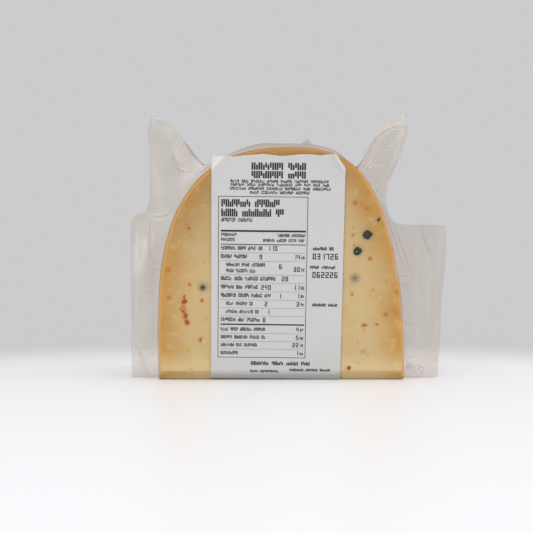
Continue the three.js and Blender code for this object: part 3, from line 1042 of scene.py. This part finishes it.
class CHEESE_OT_chili(bpy.types.Operator):
    """Chili flakes pressed into both cut faces: thin, curled, with ragged edges"""

    bl_idname = "cheese.chili"
    bl_label = "Chili flakes"

    def execute(self, context):
        wedge = Wedge(context.scene.cheese_wedge)
        spice = Sizes(context.scene.cheese_spice)
        material = chili_material(context.scene.cheese_spice)
        for word, side, flakes in (("front", -1, FRONT_FLAKES), ("back", 1, BACK_FLAKES)):
            grids, reds = [], []
            for k, (across, height, wide, tall, lean, red) in enumerate(flakes):
                size = 1.2 * wide + 0.1, 1.2 * tall + 0.1
                flake = self.flake(*size, spice.flake_thickness, 1.7 * k + side)
                grids.append(on_surface(wedge, turned(flake, lean), across, height, side, -0.06))
                reds.append(np.full(flake.shape[:-1], red))
            layers = {"redness": np.stack(reds)}
            piece = joined_surfaces(f"chili_flakes_{word}", np.stack(grids), layers=layers)
            settle(piece, material, "chili", *nodes_named(f"chili_flake_{word}"))
        return {"FINISHED"}

    def flake(self, wide, tall, thickness, seed):
        """Rings from the middle of the top, over the ragged rim, to the middle of the underside.
        The rim's radius is 1 + 0.22 sin(2a) + 0.16 sin(3a) + 0.1 sin(7a), each with its own shift."""
        ring = np.array([0, 0.35, 0.7, 0.93, 1.0, 0.93, 0.6, 0])[:, None]
        level = np.array([0.25, 0.28, 0.3, 0.22, 0.0, -0.5, -1.0, -1.0])[:, None]
        a = np.linspace(0, 2 * math.pi, 26, endpoint=False)[None]
        ragged = 1 + 0.22 * np.sin(2 * a + seed) + 0.16 * np.sin(3 * a + 2 * seed)
        ragged = ragged + 0.1 * np.sin(7 * a + seed)
        x = ring * ragged * np.cos(a)
        y = ring * ragged * np.sin(a)
        curl = 0.35 * thickness * np.sin(2.2 * x + seed) * ring
        z = level * thickness + np.minimum(curl, 0.12)
        z = np.where(ring == 0, level * thickness, z)
        return np.stack([x * wide, y * tall, z], -1)


# ---------------------------------------------------------------- The pouch

# Where the fins and the two ears of the pouch end: up the outline, across, height.
LEFT_FIN = [
    (0, -53.5, 0.25), (1.6, -67, 0.4), (30, -67.3, 30), (66, -67.6, 66), (70, -67.3, 71),
    (72, -65, 73.6), (74, -61, 74.4), (76, -59.2, 79), (79, -58.8, 90), (81.5, -59, 101.6),
    (84, -59.8, 110.6), (86.5, -58.4, 116.2), (88.5, -54.4, 116.8), (90, -49.1, 114),
    (91.5, -44.6, 108.2), (92.3, -41, 101.6), (92.8, -36.5, 96), (94, -31, 96.6),
]
RIGHT_FIN = [
    (0, 53.5, 0.25), (1.6, 70, 0.4), (16, 71.3, 16.3), (34, 71.9, 34.3), (51, 73.7, 51.3),
    (64, 74, 66.5), (65.5, 73.5, 68.6), (66.5, 66, 68.9), (68, 55, 68.9), (70, 50, 70),
    (74, 47.6, 75), (77, 46.9, 81), (79, 48.4, 88), (80.5, 51.4, 94.5), (82, 54.2, 101.6),
    (84, 56.4, 109.2), (85.5, 56.9, 115), (87, 55.1, 118.1), (88.5, 51.1, 117),
    (90, 45.2, 112.7), (91.3, 40.7, 106.1), (92.5, 37, 98.5), (93.7, 34.5, 93.8),
]
# Broad folds in the fins: from across, height, to across, height, how far out, width.
FOLDS = [
    (-47.5, 104.0, -44.0, 97.0, -0.4, 3.0),
    (-55.0, 112.0, -50.0, 100.0, 0.4, 3.6),
    (-60.5, 66.0, -62.0, 20.0, 0.2, 3.0),
    (40.7, 105.7, 52.4, 112.8, 0.3, 2.4),
    (50.0, 104.0, 46.5, 90.0, -0.3, 2.6),
    (46.5, 78.0, 61.0, 40.0, 0.4, 2.4),
    (62.3, 68.4, 67.2, 50.0, 0.3, 2.6),
]
# Milky patches in the fins: from across, height, to across, height, radius, how milky.
MILKY = [
    (-57.5, 113.8, -51.5, 112.5, 3.6, 0.14),
    (-51.0, 111.0, -45.0, 101.5, 3.2, 0.22),
    (-46.0, 100.0, -41.0, 95.0, 3.4, 0.38),
    (-56.0, 92.0, -54.5, 76.0, 1.4, 0.16),
    (-57.0, 72.6, -50.5, 72.6, 1.7, 0.20),
    (-62.0, 50.0, -62.5, 8.0, 3.5, 0.06),
    (-61.3, 62.0, -61.0, 24.0, 0.9, 0.08),
    (-64.8, 65.0, -65.0, 30.0, 0.8, 0.12),
    (-58.2, 66.0, -58.5, 14.0, 0.8, 0.07),
    (-66.5, 17.0, -60.5, 3.0, 1.1, 0.16),
    (60.5, 58.0, 61.4, 14.0, 1.0, 0.13),
    (66.4, 63.0, 66.0, 30.0, 1.6, 0.11),
    (70.2, 50.0, 69.4, 8.0, 1.0, 0.10),
    (55.4, 36.0, 56.0, 8.0, 0.8, 0.14),
    (44.0, 110.0, 55.0, 115.6, 2.4, 0.46),
    (39.6, 97.5, 44.6, 108.0, 1.1, 0.26),
    (46.8, 101.5, 54.6, 110.8, 0.9, 0.24),
    (54.5, 111.0, 51.0, 98.0, 1.7, 0.22),
    (38.5, 95.5, 43.0, 95.8, 1.9, 0.34),
    (48.5, 90.0, 47.0, 79.0, 1.3, 0.24),
    (72.0, 66.0, 70.5, 52.0, 2.2, 0.16),
    (57.5, 5.0, 61.5, 3.2, 1.7, 0.46),
    (63.0, 40.0, 66.0, 10.0, 4.0, 0.06),
]
# Sharp pleats pinched up from the film: places along it (across, height), width, how white: crease whitening
# with a painted highlight.
PLEATS = [
    ([(-48.4, 102.5), (-48.6, 99.5), (-47.6, 96.3)], 1.2, 0.4),
    ([(-47.5, 96.4), (-46.3, 94.6), (-44.4, 93.6), (-41.5, 92.8), (-39.5, 92.6)], 1.7, 0.9),
    ([(-37.5, 92.4), (-35.3, 93.6), (-33.6, 95.6), (-32.8, 97.4)], 1.3, 0.9),
    ([(-58.6, 72.6), (-56, 73.2), (-52.5, 73.1), (-50.2, 73.5)], 1.9, 0.4),
    ([(-58.9, 72.4), (-59.1, 62), (-58.8, 52)], 1.0, 0.1),
    ([(-58.2, 49.0), (-56.4, 48.7), (-54.5, 48.2)], 0.9, 0.9),
    ([(-66.8, 17.2), (-64.2, 12.5), (-61, 7.8)], 0.9, 0.5),
    (
        [(36.4, 98.6), (37.6, 102), (40.7, 105.9), (44.3, 109.3), (48.2, 111.7), (52.4, 112.9), (56.4, 112)],
        0.9,
        0.3,
    ),
    ([(44.2, 101.0), (46.0, 102.3), (48.0, 101.8), (49.8, 100.3), (50.6, 100.6)], 1.0, 0.8),
    ([(42.3, 96.3), (44.3, 96.8), (46.3, 96.6)], 1.0, 0.75),
    ([(38.6, 93.6), (40.0, 94.3), (41.4, 94.4)], 1.6, 1.0),
    ([(42.5, 90.2), (42.9, 87), (43.1, 83.4)], 0.9, 0.75),
    ([(52.6, 98.4), (49.5, 93), (46.9, 87.5)], 1.0, 0.2),
    ([(44.3, 80.5), (46.6, 77.2), (53.3, 61.2), (60, 42)], 0.8, 0.14),
    ([(43.6, 80.8), (46.0, 75.6), (51.2, 61.5), (55.8, 46)], 0.7, 0.12),
    ([(62.3, 68.4), (65.4, 59), (67.2, 54.5)], 1.2, 0.2),
    ([(53.3, 42.6), (56, 42.2), (58.8, 42.4)], 2.2, 0.28),
    ([(60.9, 6.4), (64, 2.8)], 1.6, 0.8),
]


class Pouch:
    """The vacuum pouch: film drawn tight over the cheese, welded in flat fins at the middle plane."""

    SEAL = 0.12  # each sheet of a fin stands this far off the middle plane
    DOWN = 0.44  # how far the film under the foot comes down

    def __init__(self, wedge, settings, spice):
        self.wedge = wedge
        self.s = Sizes(settings)
        self.proud = spice.proud
        path = wedge.path()
        out = wedge.outward(path)
        edge = self.fin_edge(path, out)
        step = np.linalg.norm(np.roll(path, -1, 0) - path, axis=1)
        travel = np.linalg.norm(np.roll(edge, -1, 0) - edge, axis=1) / np.maximum(step, 1e-6)
        weight = wedge.corner_weight(path) + 0.55 * np.minimum(travel, 40)
        places = wedge.spread(path, weight, 500)
        self.path = wedge.pick(path, places)
        self.out = wedge.pick(out, places)
        self.edge = wedge.pick(edge, places)

    def fin_edge(self, path, out):
        """Where the film's edge lies beyond each point of the outline, across and height. Over the
        rim it is a lip, a little higher there and with one small peak."""
        base = self.wedge.s.base
        top = smooth((path[:, 1] - 93.5) / 6)
        rise = top * (1.8 + 2.3 * hump(path[:, 0] - 11.3, 1.4) + 0.5 * hump(path[:, 0] + 9, 5))
        lip = path + out * (self.s.lip + rise)[:, None] + np.array([0, base])
        found = lip
        for fin, sign in ((LEFT_FIN, -1), (RIGHT_FIN, 1)):
            up, across, height = np.array(fin).T
            target = np.stack([np.interp(path[:, 1], up, across), np.interp(path[:, 1], up, height)], 1)
            mine = (path[:, 0] * sign > 0) & (path[:, 1] <= up[-1])
            found = np.where(mine[:, None], target, found)
            blend = smooth((path[:, 1] - up[-1]) / 1.5)[:, None]
            after = (path[:, 0] * sign > 0) & (path[:, 1] > up[-1])
            found = np.where(after[:, None], target * (1 - blend) + lip * blend, found)
        nose = path[:, 1] <= 0.02
        return np.where(nose[:, None], path + np.array([0, base]), found)

    def grow(self, side):
        """The film's distance outside the smooth wedge: clearance, a tent where the two sheets
        meet, a bulge over each proud peppercorn, and a little more under the nose."""
        wedge, s = self.wedge, self.s
        corns = FRONT_CORNS if side < 0 else BACK_CORNS

        def distance(across, up, f):
            g = wedge.uneven(across, up, side * (1 - f)) + s.clearance
            g = g + 1.1 * f**9 * smooth(up / 4)
            g = g + self.DOWN * wedge.foot(up)
            for x, h, size in corns:
                away = np.hypot(across + x * side, up - h - 0.67) / size
                g = g + (self.proud + 0.06) * smooth((1.45 - away) / 0.7) * (f == 0)
            return g

        return distance

    def flutter(self, x, z, far):
        """How far a fin stands off the middle plane: slow waves that grow away from the cheese,
        short pleats beside it, and broad folds, each a bell across its own line."""
        p = np.stack([x, z, 0 * x], -1)
        wave = smooth(far / 9) * (0.8 * ripple(p, 38, 2.2) + 0.12 * ripple(p, 13, 5.0))
        pleat = 0.10 * ripple(p, 5.5, 0.7) * smooth(far / 1.5) * np.exp(-far / 5)
        stand = wave + pleat - 2.2 * smooth((z - 84) / 40) ** 1.5
        for x0, z0, x1, z1, height, width in FOLDS:
            stand = stand - height * hump(to_segment(x, z, (x0, z0), (x1, z1)), width)
        return stand * smooth(far / 2.5)

    def pleats(self):
        """Each pleat is a low ridge carried along its line: at a from side to side it stands
        0.13 width (1 - a^2) off the fin, and both ends taper away."""
        along = np.linspace(0, 1, 28)
        a = np.linspace(-1, 1, 7)[None]
        grids, folds = [], []
        for places, width, white in PLEATS + self.short_pleats():
            x, z = np.array(places, float).T
            run = np.concatenate([[0], np.cumsum(np.hypot(np.diff(x), np.diff(z)))])
            x, z = spline(along * run[-1], run, x), spline(along * run[-1], run, z)
            dx, dz = np.gradient(x), np.gradient(z)
            size = np.hypot(dx, dz)
            taper = (np.sin(math.pi * np.clip(along, 0.01, 0.99)) ** 1.1)[:, None]
            side = a * taper * width / 2
            gx = x[:, None] + side * (-dz / size)[:, None]
            gz = z[:, None] + side * (dx / size)[:, None]
            gap = np.stack([gx, gz], -1)[..., None, :] - (self.path[::3] + (0, self.wedge.s.base))
            far = np.hypot(gap[..., 0], gap[..., 1]).min(-1)
            stand = 0.13 * width * (1 - a * a) * taper
            y = self.flutter(gx, gz, far) - self.SEAL - self.s.thickness - stand
            grids.append(np.stack([gx, y, gz], -1))
            patchy = 0.75 + 0.4 * ripple(grids[-1], 3.1, 4.4)
            # Crease whitening and painted highlight, strongest along the middle of each pleat.
            folds.append(np.clip(0.9 * white * patchy * (1 - a * a) ** 1.2 * taper, 0, 1))
        return np.stack(grids), np.stack(folds)

    def short_pleats(self):
        """Short faint pleats that run out from the cheese where the film is drawn in. There are
        none by the foot, over the crown or where the fin is narrow."""
        chance = np.random.default_rng(5)
        count = 26
        at = np.linspace(0, len(self.path), count, endpoint=False) + chance.uniform(-6, 6, count)
        found = []
        for k in at.astype(int) % len(self.path):
            start = self.path[k] + (0, self.wedge.s.base) + self.out[k] * 2.0
            room = np.linalg.norm(self.edge[k] - start)
            if self.path[k, 1] < 4 or self.path[k, 1] > 76 or room < 6:
                continue
            end = start + self.out[k] * min(room - 1, chance.uniform(3, 7))
            end = end + np.array([-self.out[k, 1], self.out[k, 0]]) * chance.uniform(-1.2, 1.2)
            width = chance.uniform(0.5, 0.9)
            white = chance.uniform(0.16, 0.3)
            found.append(([tuple(start), tuple(end)], width, white))
        return found

    def sheet(self, side):
        """One sheet's grid: cut face, edge and half of the rind, then out along the fin. On the
        fin a point is root + f (edge - root)."""
        wedge = self.wedge
        rows = (40, 10, 8)
        tight, inset = wedge.skin(self.path, self.out, side, rows, self.grow(side))
        share = np.concatenate([np.zeros(rows[0] + rows[1]), np.linspace(0, 1, rows[2] + 1)])[:, None]
        tight[..., 1] += side * self.SEAL * share**4
        root = tight[-1]
        f = (np.linspace(0, 1, 31)[1:, None]) ** 1.1
        x = root[:, 0] * (1 - f) + self.edge[:, 0] * f
        z = root[:, 2] * (1 - f) + self.edge[:, 1] * f
        far = np.hypot(x - root[:, 0], z - root[:, 2])
        y = self.flutter(x, z, far) + side * self.SEAL
        moved = (far > 1e-4)[..., None]
        fin = np.where(moved, np.stack([x, y, z], -1), root[None])
        milky = 0.03 + 0.05 * smooth((z - 74) / 10)
        for x0, z0, x1, z1, radius, strength in MILKY:
            milky = milky + strength * hump(to_segment(x, z, (x0, z0), (x1, z1)), radius)
        haze = np.concatenate([0.02 * np.ones(inset.shape), np.where(moved[..., 0], milky, 0.02)])
        # Painted highlights and the milky seal on the drawn part; none on the fin.
        whitening_and_highlight = np.concatenate([self.gleam(tight, inset, share), 0 * far])
        return np.concatenate([tight, fin]), {"haze": haze, "whitening_and_highlight": whitening_and_highlight}

    def gleam(self, tight, inset, share):
        """Painted highlights on the drawn film: a thin line along the bend of the nose and a broken line
        down both sides where the film turns over the rind's edge; with them the milky seal under the nose."""
        wedge = self.wedge
        height = tight[..., 2] - wedge.s.base
        nose = smooth((-self.out[:, 1] - 0.5) / 0.4) * hump(share, 0.25)
        line = hump(height - 3.8, 0.4) * smooth((wedge.half - 0.6 - np.abs(tight[..., 0])) / 1.5)
        seal = smooth(1 - height / 0.7) * nose
        side = smooth((self.out[:, 1] + 0.3) / 0.3) * smooth((84 - height) / 12) * (share < 0.3)
        broken = 0.5 + 0.5 * ripple(tight, 13, 2.6)
        edge = hump(inset - 0.5, 0.4) * side * (0.03 + 0.15 * smooth(broken))
        return 0.05 * line * (share == 0) + 0.06 * seal + edge


class CHEESE_OT_pouch(bpy.types.Operator):
    """The clear vacuum pouch: a front sheet and a back sheet, tight on the cheese and welded in fins"""

    bl_idname = "cheese.pouch"
    bl_label = "Vacuum pouch"

    def execute(self, context):
        settings = context.scene.cheese_pouch
        pouch = Pouch(Wedge(context.scene.cheese_wedge), settings, Sizes(context.scene.cheese_spice))
        material = film_material(settings)
        for word, side in (("front", -1), ("back", 1)):
            points, layers = pouch.sheet(side)
            if side > 0:
                points = points[::-1]
                layers = {key: values[::-1] for key, values in layers.items()}
            piece = surface(f"pouch_{word}", points, layers=layers)
            thicken(piece, pouch.s.thickness)
            settle(piece, material, "film", f"pouch_{word}_film")
        ridges, whitening_and_highlight = pouch.pleats()
        layers = {"whitening_and_highlight": whitening_and_highlight, "haze": 0.1 * whitening_and_highlight}
        pleats = joined_surfaces("pouch_pleats", ridges, closed=False, layers=layers)
        thicken(pleats, pouch.s.thickness)
        settle(pleats, material, "film")
        return {"FINISHED"}


# ---------------------------------------------------------------- The label

# The torn upper edge: across the label, how far below its full height.
TORN_EDGE = [
    (0, 0.95), (6, 0.9), (11, 0.8), (14.5, 0.3), (18, 0), (22, -0.3), (26, 0), (29.5, 0.4),
    (33.5, 0.05), (38, -0.35), (43, -0.4), (46.5, -0.1), (49.5, -0.45), (53.6, 0), (57.15, 5.4),
]


class Label:
    """The paper label: a strip up the front face that wraps round the nose."""

    FOOT_TURN = math.radians(28)
    CORNER_CUT = (53.6, 3.55, 5.4)  # the torn corner: where it starts, its width, its height

    def __init__(self, wedge, settings, pouch):
        self.wedge = wedge
        self.s = Sizes(settings)
        self.under = pouch.clearance + pouch.thickness / 2
        w = wedge.s
        top = (self.s.top - w.base + wedge.axis) / math.cos(w.lean) - wedge.axis
        self.run = top - self.s.bend
        self.length = self.run + self.s.foot

    def relief(self, u, t):
        """Small waves in the paper, its curled upper right corner and its bent upper left one."""
        p = np.stack([u, t, 0 * u], -1)
        wave = 0.10 * (1 + ripple(p, 26, 3.3)) + 0.03 * (1 + ripple(p, 9, 8.0))
        edge = 0.22 * (1 + ripple(p, 7.5, 6.1)) * smooth(1 - t / 4)
        start, wide, tall = self.CORNER_CUT
        beyond = (t * wide - (u - start) * tall) / math.hypot(wide, tall)
        curl = 0.75 * hump(beyond - 1.25, 0.75) * smooth((9 - t) / 3) * smooth((u - 44) / 5)
        bent = self.bent(u, t)
        return wave + edge + curl - 0.3 * bent**1.8 / (1 + 0.05 * bent)

    def bent(self, u, t):
        """How far a place lies beyond the crease that cuts off the upper left corner."""
        return np.clip(4.97 - (u * 0.71 + t * 0.70), 0, 9)

    def place(self, u, t, lift):
        """A point on the label: u across it, t down it from its upper edge, lift off the paper.
        At its foot it bends back round the nose as far as 28 degrees and then hangs straight."""
        w = self.wedge
        r = self.s.bend
        most = self.FOOT_TURN
        a, b = u - self.s.width / 2, self.run / 2 - t
        c, d = math.cos(self.s.tilt), math.sin(self.s.tilt)
        across = self.s.centre + a * c - b * d
        run = self.run / 2 + a * d + b * c
        g = self.under + self.s.lift + lift + self.relief(u, t) * smooth((run + 3) / 8)
        g = g + w.uneven(across, np.maximum(run, 0) + r, -1)
        turn = np.clip(-run / (r + 0.5), 0, most)
        tail = np.maximum(-run - most * (r + 0.5), 0)
        up = r - (r + g) * np.sin(turn) + np.maximum(run, 0) - tail * math.cos(most)
        depth = r - (r + g) * np.cos(turn) + tail * math.sin(most)
        return w.place(across, up, -(w.s.lean - depth / (w.axis + up)))

    def sheet(self, columns, rows):
        """The paper's grid: share a across, share b down from the torn edge. The layer tells
        how much light the bent corner catches, most along its crease."""
        u = np.linspace(0, self.s.width, columns)[None]
        u = u * np.ones((rows, 1))
        torn = spline(u, *np.array(TORN_EDGE).T)
        start, wide, tall = self.CORNER_CUT
        torn = np.where(u > start, (u - start) * tall / wide, torn)
        torn = torn + 0.12 * np.sin(u * 2.9) * np.sin(u * 0.7 + 1)
        b = np.linspace(0, 1, rows)[:, None] ** 1.25
        t = torn + (self.length - torn) * b
        bent = self.bent(u, t)
        painted_flap_light = smooth(bent / 0.45) * (0.45 + 0.55 * hump(bent - 0.7, 0.9))
        return self.place(u, t, 0.0), {"painted_flap_light": painted_flap_light}


# Each line's strokes follow a random series of its own, which starts from one of these.
FINE_SEED = 11
BOLD_SEED = 71

# The print, in millimetres across and down the label. Words are only groups of plain strokes.
# Bold lines: from, to, upper, lower, pitch of the strokes.
HEADINGS = [
    (17.0, 41.6, 3.3, 6.4, 1.95),
    (17.0, 41.6, 6.9, 10.0, 1.95),
    (4.2, 30.0, 19.1, 22.4, 1.8),
    (4.2, 31.3, 23.2, 26.6, 1.8),
    (17.6, 43.8, 91.4, 93.2, 1.3),
    (43.9, 53.5, 39.4, 40.9, 1.0),
    (42.8, 54.6, 47.7, 49.1, 1.0),
    (44.0, 55.0, 64.4, 65.7, 1.0),
    (17.2, 30.5, 95.4, 96.6, 0.9),
    (34.5, 53.0, 94.7, 95.8, 0.9),
]
# Fine lines: from, to, upper, lower, pitch.
FINE_LINES = [
    (8.0, 50.9, 10.8, 11.8, 0.98),
    (8.2, 50.6, 12.3, 13.3, 0.98),
    (7.9, 51.1, 13.9, 14.9, 0.98),
    (16.5, 42.6, 15.6, 16.6, 0.98),
    (4.2, 18.3, 27.3, 28.7, 0.9),
    (4.2, 11.1, 33.9, 35.0, 0.85),
    (28.7, 40.9, 34.1, 35.2, 0.85),
    (4.2, 10.4, 36.0, 37.1, 0.85),
    (22.3, 40.9, 36.3, 37.4, 0.85),
    (4.2, 22.3, 39.6, 41.0, 0.9),
    (4.2, 15.8, 43.2, 44.7, 0.95),
    (6.4, 24.2, 46.9, 48.2, 0.85),
    (6.4, 19.3, 49.6, 50.9, 0.85),
    (4.2, 28.2, 52.9, 54.4, 0.95),
    (4.2, 20.5, 56.6, 58.1, 0.95),
    (4.2, 26.8, 60.3, 61.8, 0.95),
    (6.4, 18.4, 64.1, 65.4, 0.85),
    (6.4, 21.1, 67.7, 69.0, 0.85),
    (4.2, 21.6, 71.2, 72.7, 0.95),
    (4.2, 24.3, 75.6, 76.9, 0.85),
    (4.2, 24.2, 79.3, 80.6, 0.85),
    (4.2, 20.4, 83.0, 84.3, 0.85),
    (4.2, 12.0, 86.8, 88.1, 0.85),
]
# A short sign after each number at the right of the table.
FINE_LINES += [
    (39.0, 40.7, upper, upper + 1.2, 0.75)
    for upper in (43.6, 49.0, 57.0, 60.8, 64.4, 75.8, 79.6, 83.2, 87.0)
]
# Numbers: right end across, upper edge, height, digits.
NUMBERS = [
    (28.6, 39.2, 2.1, "110"), (22.0, 43.0, 2.1, "9"), (38.4, 43.0, 2.1, "14"),
    (30.6, 47.2, 2.1, "6"), (38.4, 48.4, 2.1, "30"), (33.4, 52.6, 2.1, "28"),
    (26.0, 56.4, 2.1, "240"), (38.4, 56.4, 2.1, "11"), (30.5, 60.2, 2.1, "1"),
    (38.4, 60.2, 2.1, "1"), (24.5, 63.8, 2.1, "2"), (38.4, 63.8, 2.1, "3"),
    (25.5, 67.3, 2.1, "1"), (23.8, 71.0, 2.1, "8"), (38.4, 75.2, 2.1, "4"),
    (38.4, 79.0, 2.1, "5"), (38.4, 82.6, 2.1, "22"), (38.4, 86.4, 2.1, "1"),
    (54.8, 42.3, 2.6, "031726"), (54.8, 50.4, 2.6, "062226"),
]
# Rules: from, to, upper, lower.
RULES = [
    (3.0, 41.5, 17.8, 18.05), (3.0, 41.5, 89.5, 89.75),
    (4.2, 40.8, 32.4, 33.2), (4.2, 40.8, 38.5, 38.85), (4.2, 40.8, 73.8, 74.4),
]
UPRIGHTS = [(3.0, 3.25, 17.8, 89.75), (41.25, 41.5, 17.8, 89.75)]
DOTTED = [42.2, 45.9, 51.9, 55.5, 59.3, 63.0, 66.6, 70.2, 78.1, 81.9, 85.6]
# Which of seven bars each digit shows: top, upper right, lower right, bottom, lower left, upper
# left, middle.
DIGIT_BARS = {
    "0": "1111110", "1": "0110000", "2": "1101101", "3": "1111001", "4": "0110011",
    "5": "1011011", "6": "1011111", "7": "1110000", "8": "1111111", "9": "1111011",
}


def strokes(line, seed, bold):
    """A line of print as plain upright strokes in groups: each is (from, to, upper, lower). Every
    cell holds two that never touch. Some start lower or end higher, and some of the fine ones
    have a break."""
    start, end, upper, lower, pitch = line
    if not bold:
        upper, lower = upper - 0.16, lower + 0.14
    chance = np.random.default_rng(seed)
    count = int((end - start) / pitch)
    left = start + pitch * np.arange(count)
    height = lower - upper
    gap = np.zeros(count, bool)
    at = chance.integers(4, 8)
    while at < count - 2:
        gap[at] = True
        at += chance.integers(4, 9)
    thick = (0.38 if bold else 0.36) * pitch
    cells = []
    for shift in (0.05, 0.55):
        draw, split = chance.random((2, count))
        drop = height * np.where(draw > 0.72, 0.3, 0.0)
        rise = height * np.where(draw < 0.22, 0.3, 0.0)
        broken = (split > 0.72) & (not bold)
        side = left + shift * pitch
        high, low = upper + drop, lower - rise
        middle = np.where(broken, (high + low) / 2 - 0.1 * height, low)
        cells.append(np.stack([side, side + thick, high, middle], 1)[~gap])
        again = np.stack([side, side + thick, middle + 0.2 * height, low], 1)
        cells.append(again[~gap & broken])
    return np.concatenate(cells)


def digits(number):
    """A number as flat bars, seven to a digit at most, ending at its right."""
    right, upper, height, text = number
    wide, step, thick = 0.54 * height, 0.73 * height, 0.17 * height
    bars = []
    for k, digit in enumerate(reversed(text)):
        x0 = right - wide - k * step
        x1, half = x0 + wide, upper + height / 2
        places = [
            (x0, x1, upper, upper + thick),
            (x1 - thick, x1, upper, half),
            (x1 - thick, x1, half, upper + height),
            (x0, x1, upper + height - thick, upper + height),
            (x0, x0 + thick, half, upper + height),
            (x0, x0 + thick, upper, half),
            (x0, x1, half - thick / 2, half + thick / 2),
        ]
        bars += [place for place, shown in zip(places, DIGIT_BARS[digit]) if shown == "1"]
    return bars


class CHEESE_OT_label(bpy.types.Operator):
    """The scale label: thermal paper with a table of numbers, rules and lines of plain strokes"""

    bl_idname = "cheese.label"
    bl_label = "Scale label"

    def execute(self, context):
        settings = context.scene.cheese_label
        label = Label(Wedge(context.scene.cheese_wedge), settings, Sizes(context.scene.cheese_pouch))
        points, layers = label.sheet(120, 200)
        paper = surface("label_paper", points, closed=False, layers=layers)
        thicken(paper, label.s.thickness, 1.0)
        settle(paper, paper_material(settings), "label", "label")
        ink = ink_material(settings)
        small = [strokes(line, FINE_SEED + k, False) for k, line in enumerate(FINE_LINES)]
        small += [strokes(line, BOLD_SEED + k, True) for k, line in enumerate(HEADINGS)]
        small += [np.array([bar for number in NUMBERS for bar in digits(number)])]
        dots = np.arange(4.2, 40.6, 0.62)
        small += [np.stack([dots, dots + 0.34, 0 * dots + t, 0 * dots + t + 0.16], 1) for t in DOTTED]
        self.add_print(label, ink, "label_strokes", np.concatenate(small), 2, 3)
        self.add_print(label, ink, "label_rules", np.array(RULES), 2, 60)
        self.add_print(label, ink, "label_frame", np.array(UPRIGHTS), 90, 2)
        return {"FINISHED"}

    def add_print(self, label, ink, name, bars, rows, columns):
        """Flat bars printed on the paper, each a small grid from its own four sides."""
        across = np.linspace(0, 1, columns)[None, None]
        down = np.linspace(0, 1, rows)[None, :, None]
        start, end, upper, lower = (bars[:, i, None, None] for i in range(4))
        u = start + (end - start) * across + 0 * down
        t = upper + (lower - upper) * down + 0 * across
        grids = label.place(u, t, label.s.thickness + 0.03)
        piece = joined_surfaces(name, grids, closed=False)
        thicken(piece, 0.02)
        settle(piece, ink, "label")


# ---------------------------------------------------------------- The stage


# Soft lights: name, place and aim in metres, width and depth, watts.
LIGHTS = [
    ("top_softbox", (0.05, -0.25, 0.75), (0, 0, 0.04), (0.9, 0.6), 3.0),
    ("front_softbox", (-0.35, -0.8, 0.35), (0, 0, 0.05), (0.5, 0.5), 1.35),
    ("side_softbox", (0.75, -0.15, 0.3), (0, 0, 0.06), (0.25, 0.6), 0.8),
]


class CHEESE_OT_stage(bpy.types.Operator):
    """A plain pale floor, soft light from above and in front, and the camera"""

    bl_idname = "cheese.stage"
    bl_label = "Studio"

    def execute(self, context):
        scene = context.scene
        settings = scene.cheese_stage
        s = Sizes(settings)
        self.add_floor(settings, s)
        self.add_world(scene, settings)
        for light in LIGHTS:
            self.add_light(scene, *light)
        camera = bpy.data.objects.new("camera", bpy.data.cameras.new("camera"))
        camera.data.lens = s.lens
        camera.data.clip_start = 0.01
        camera.location = (s.camera_side * MM, -s.camera_distance * MM, s.camera_height * MM)
        camera.rotation_euler = (math.pi / 2, 0, 0)
        scene.collection.objects.link(camera)
        scene.camera = camera
        return {"FINISHED"}

    def add_floor(self, settings, s):
        """A disc of rings and columns, with its middle under the wedge."""
        ring = np.linspace(0, 1, 25)[:, None] ** 1.5 * s.floor_radius
        around = np.linspace(0, 2 * math.pi, 96, endpoint=False)[None]
        disc = np.stack([ring * np.cos(around), ring * np.sin(around), 0 * ring * around], -1)
        floor = surface("studio_floor", disc)
        floor.data.materials.append(floor_material(settings))

    def add_world(self, scene, settings):
        """Even light from all round."""
        world = bpy.data.worlds.new("studio_light")
        world.use_nodes = True
        background = world.node_tree.nodes["Background"]
        background.inputs["Color"].default_value = (*settings.backdrop, 1)
        background.inputs["Strength"].default_value = 1.0
        scene.world = world
        scene.view_settings.view_transform = "Standard"

    def add_light(self, scene, name, place, target, size, power):
        """A rectangle of light, turned towards its aim."""
        light = bpy.data.lights.new(name, "AREA")
        light.shape = "RECTANGLE"
        light.size, light.size_y = size
        light.energy = power
        lamp = bpy.data.objects.new(name, light)
        lamp.location = place
        aim = Vector(target) - Vector(place)
        lamp.rotation_euler = aim.to_track_quat("-Z", "Y").to_euler()
        scene.collection.objects.link(lamp)


# ---------------------------------------------------------------- Panel and run

OPERATORS = (
    CHEESE_OT_wedge,
    CHEESE_OT_pepper,
    CHEESE_OT_chili,
    CHEESE_OT_pouch,
    CHEESE_OT_label,
    CHEESE_OT_stage,
)


class CHEESE_PT_build(bpy.types.Panel):
    """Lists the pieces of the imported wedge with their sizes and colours"""

    bl_idname = "CHEESE_PT_build"
    bl_label = "Packed cheese wedge"
    bl_space_type = "VIEW_3D"
    bl_region_type = "UI"
    bl_category = "Cheese"

    def draw(self, context):
        for operator in OPERATORS:
            self.layout.operator(operator.bl_idname)
        for key in GROUPS:
            group = getattr(context.scene, key)
            column = self.layout.column(heading=key.replace("_", " ").title())
            for name in group.bl_rna.properties.keys():
                if name not in ("rna_type", "name"):
                    column.prop(group, name)


CLASSES = (*GROUPS.values(), *OPERATORS, CHEESE_PT_build)


def register():
    for cls in CLASSES:
        bpy.utils.register_class(cls)
    for key, group in GROUPS.items():
        setattr(bpy.types.Scene, key, bpy.props.PointerProperty(type=group))


def unregister():
    for key in GROUPS:
        delattr(bpy.types.Scene, key)
    for cls in reversed(CLASSES):
        bpy.utils.unregister_class(cls)


def main():
    register()
    bpy.ops.cheese.wedge()
    bpy.ops.cheese.pepper()
    bpy.ops.cheese.chili()
    bpy.ops.cheese.pouch()
    bpy.ops.cheese.label()
    bpy.ops.cheese.stage()


if __name__ == "__main__":
    main()
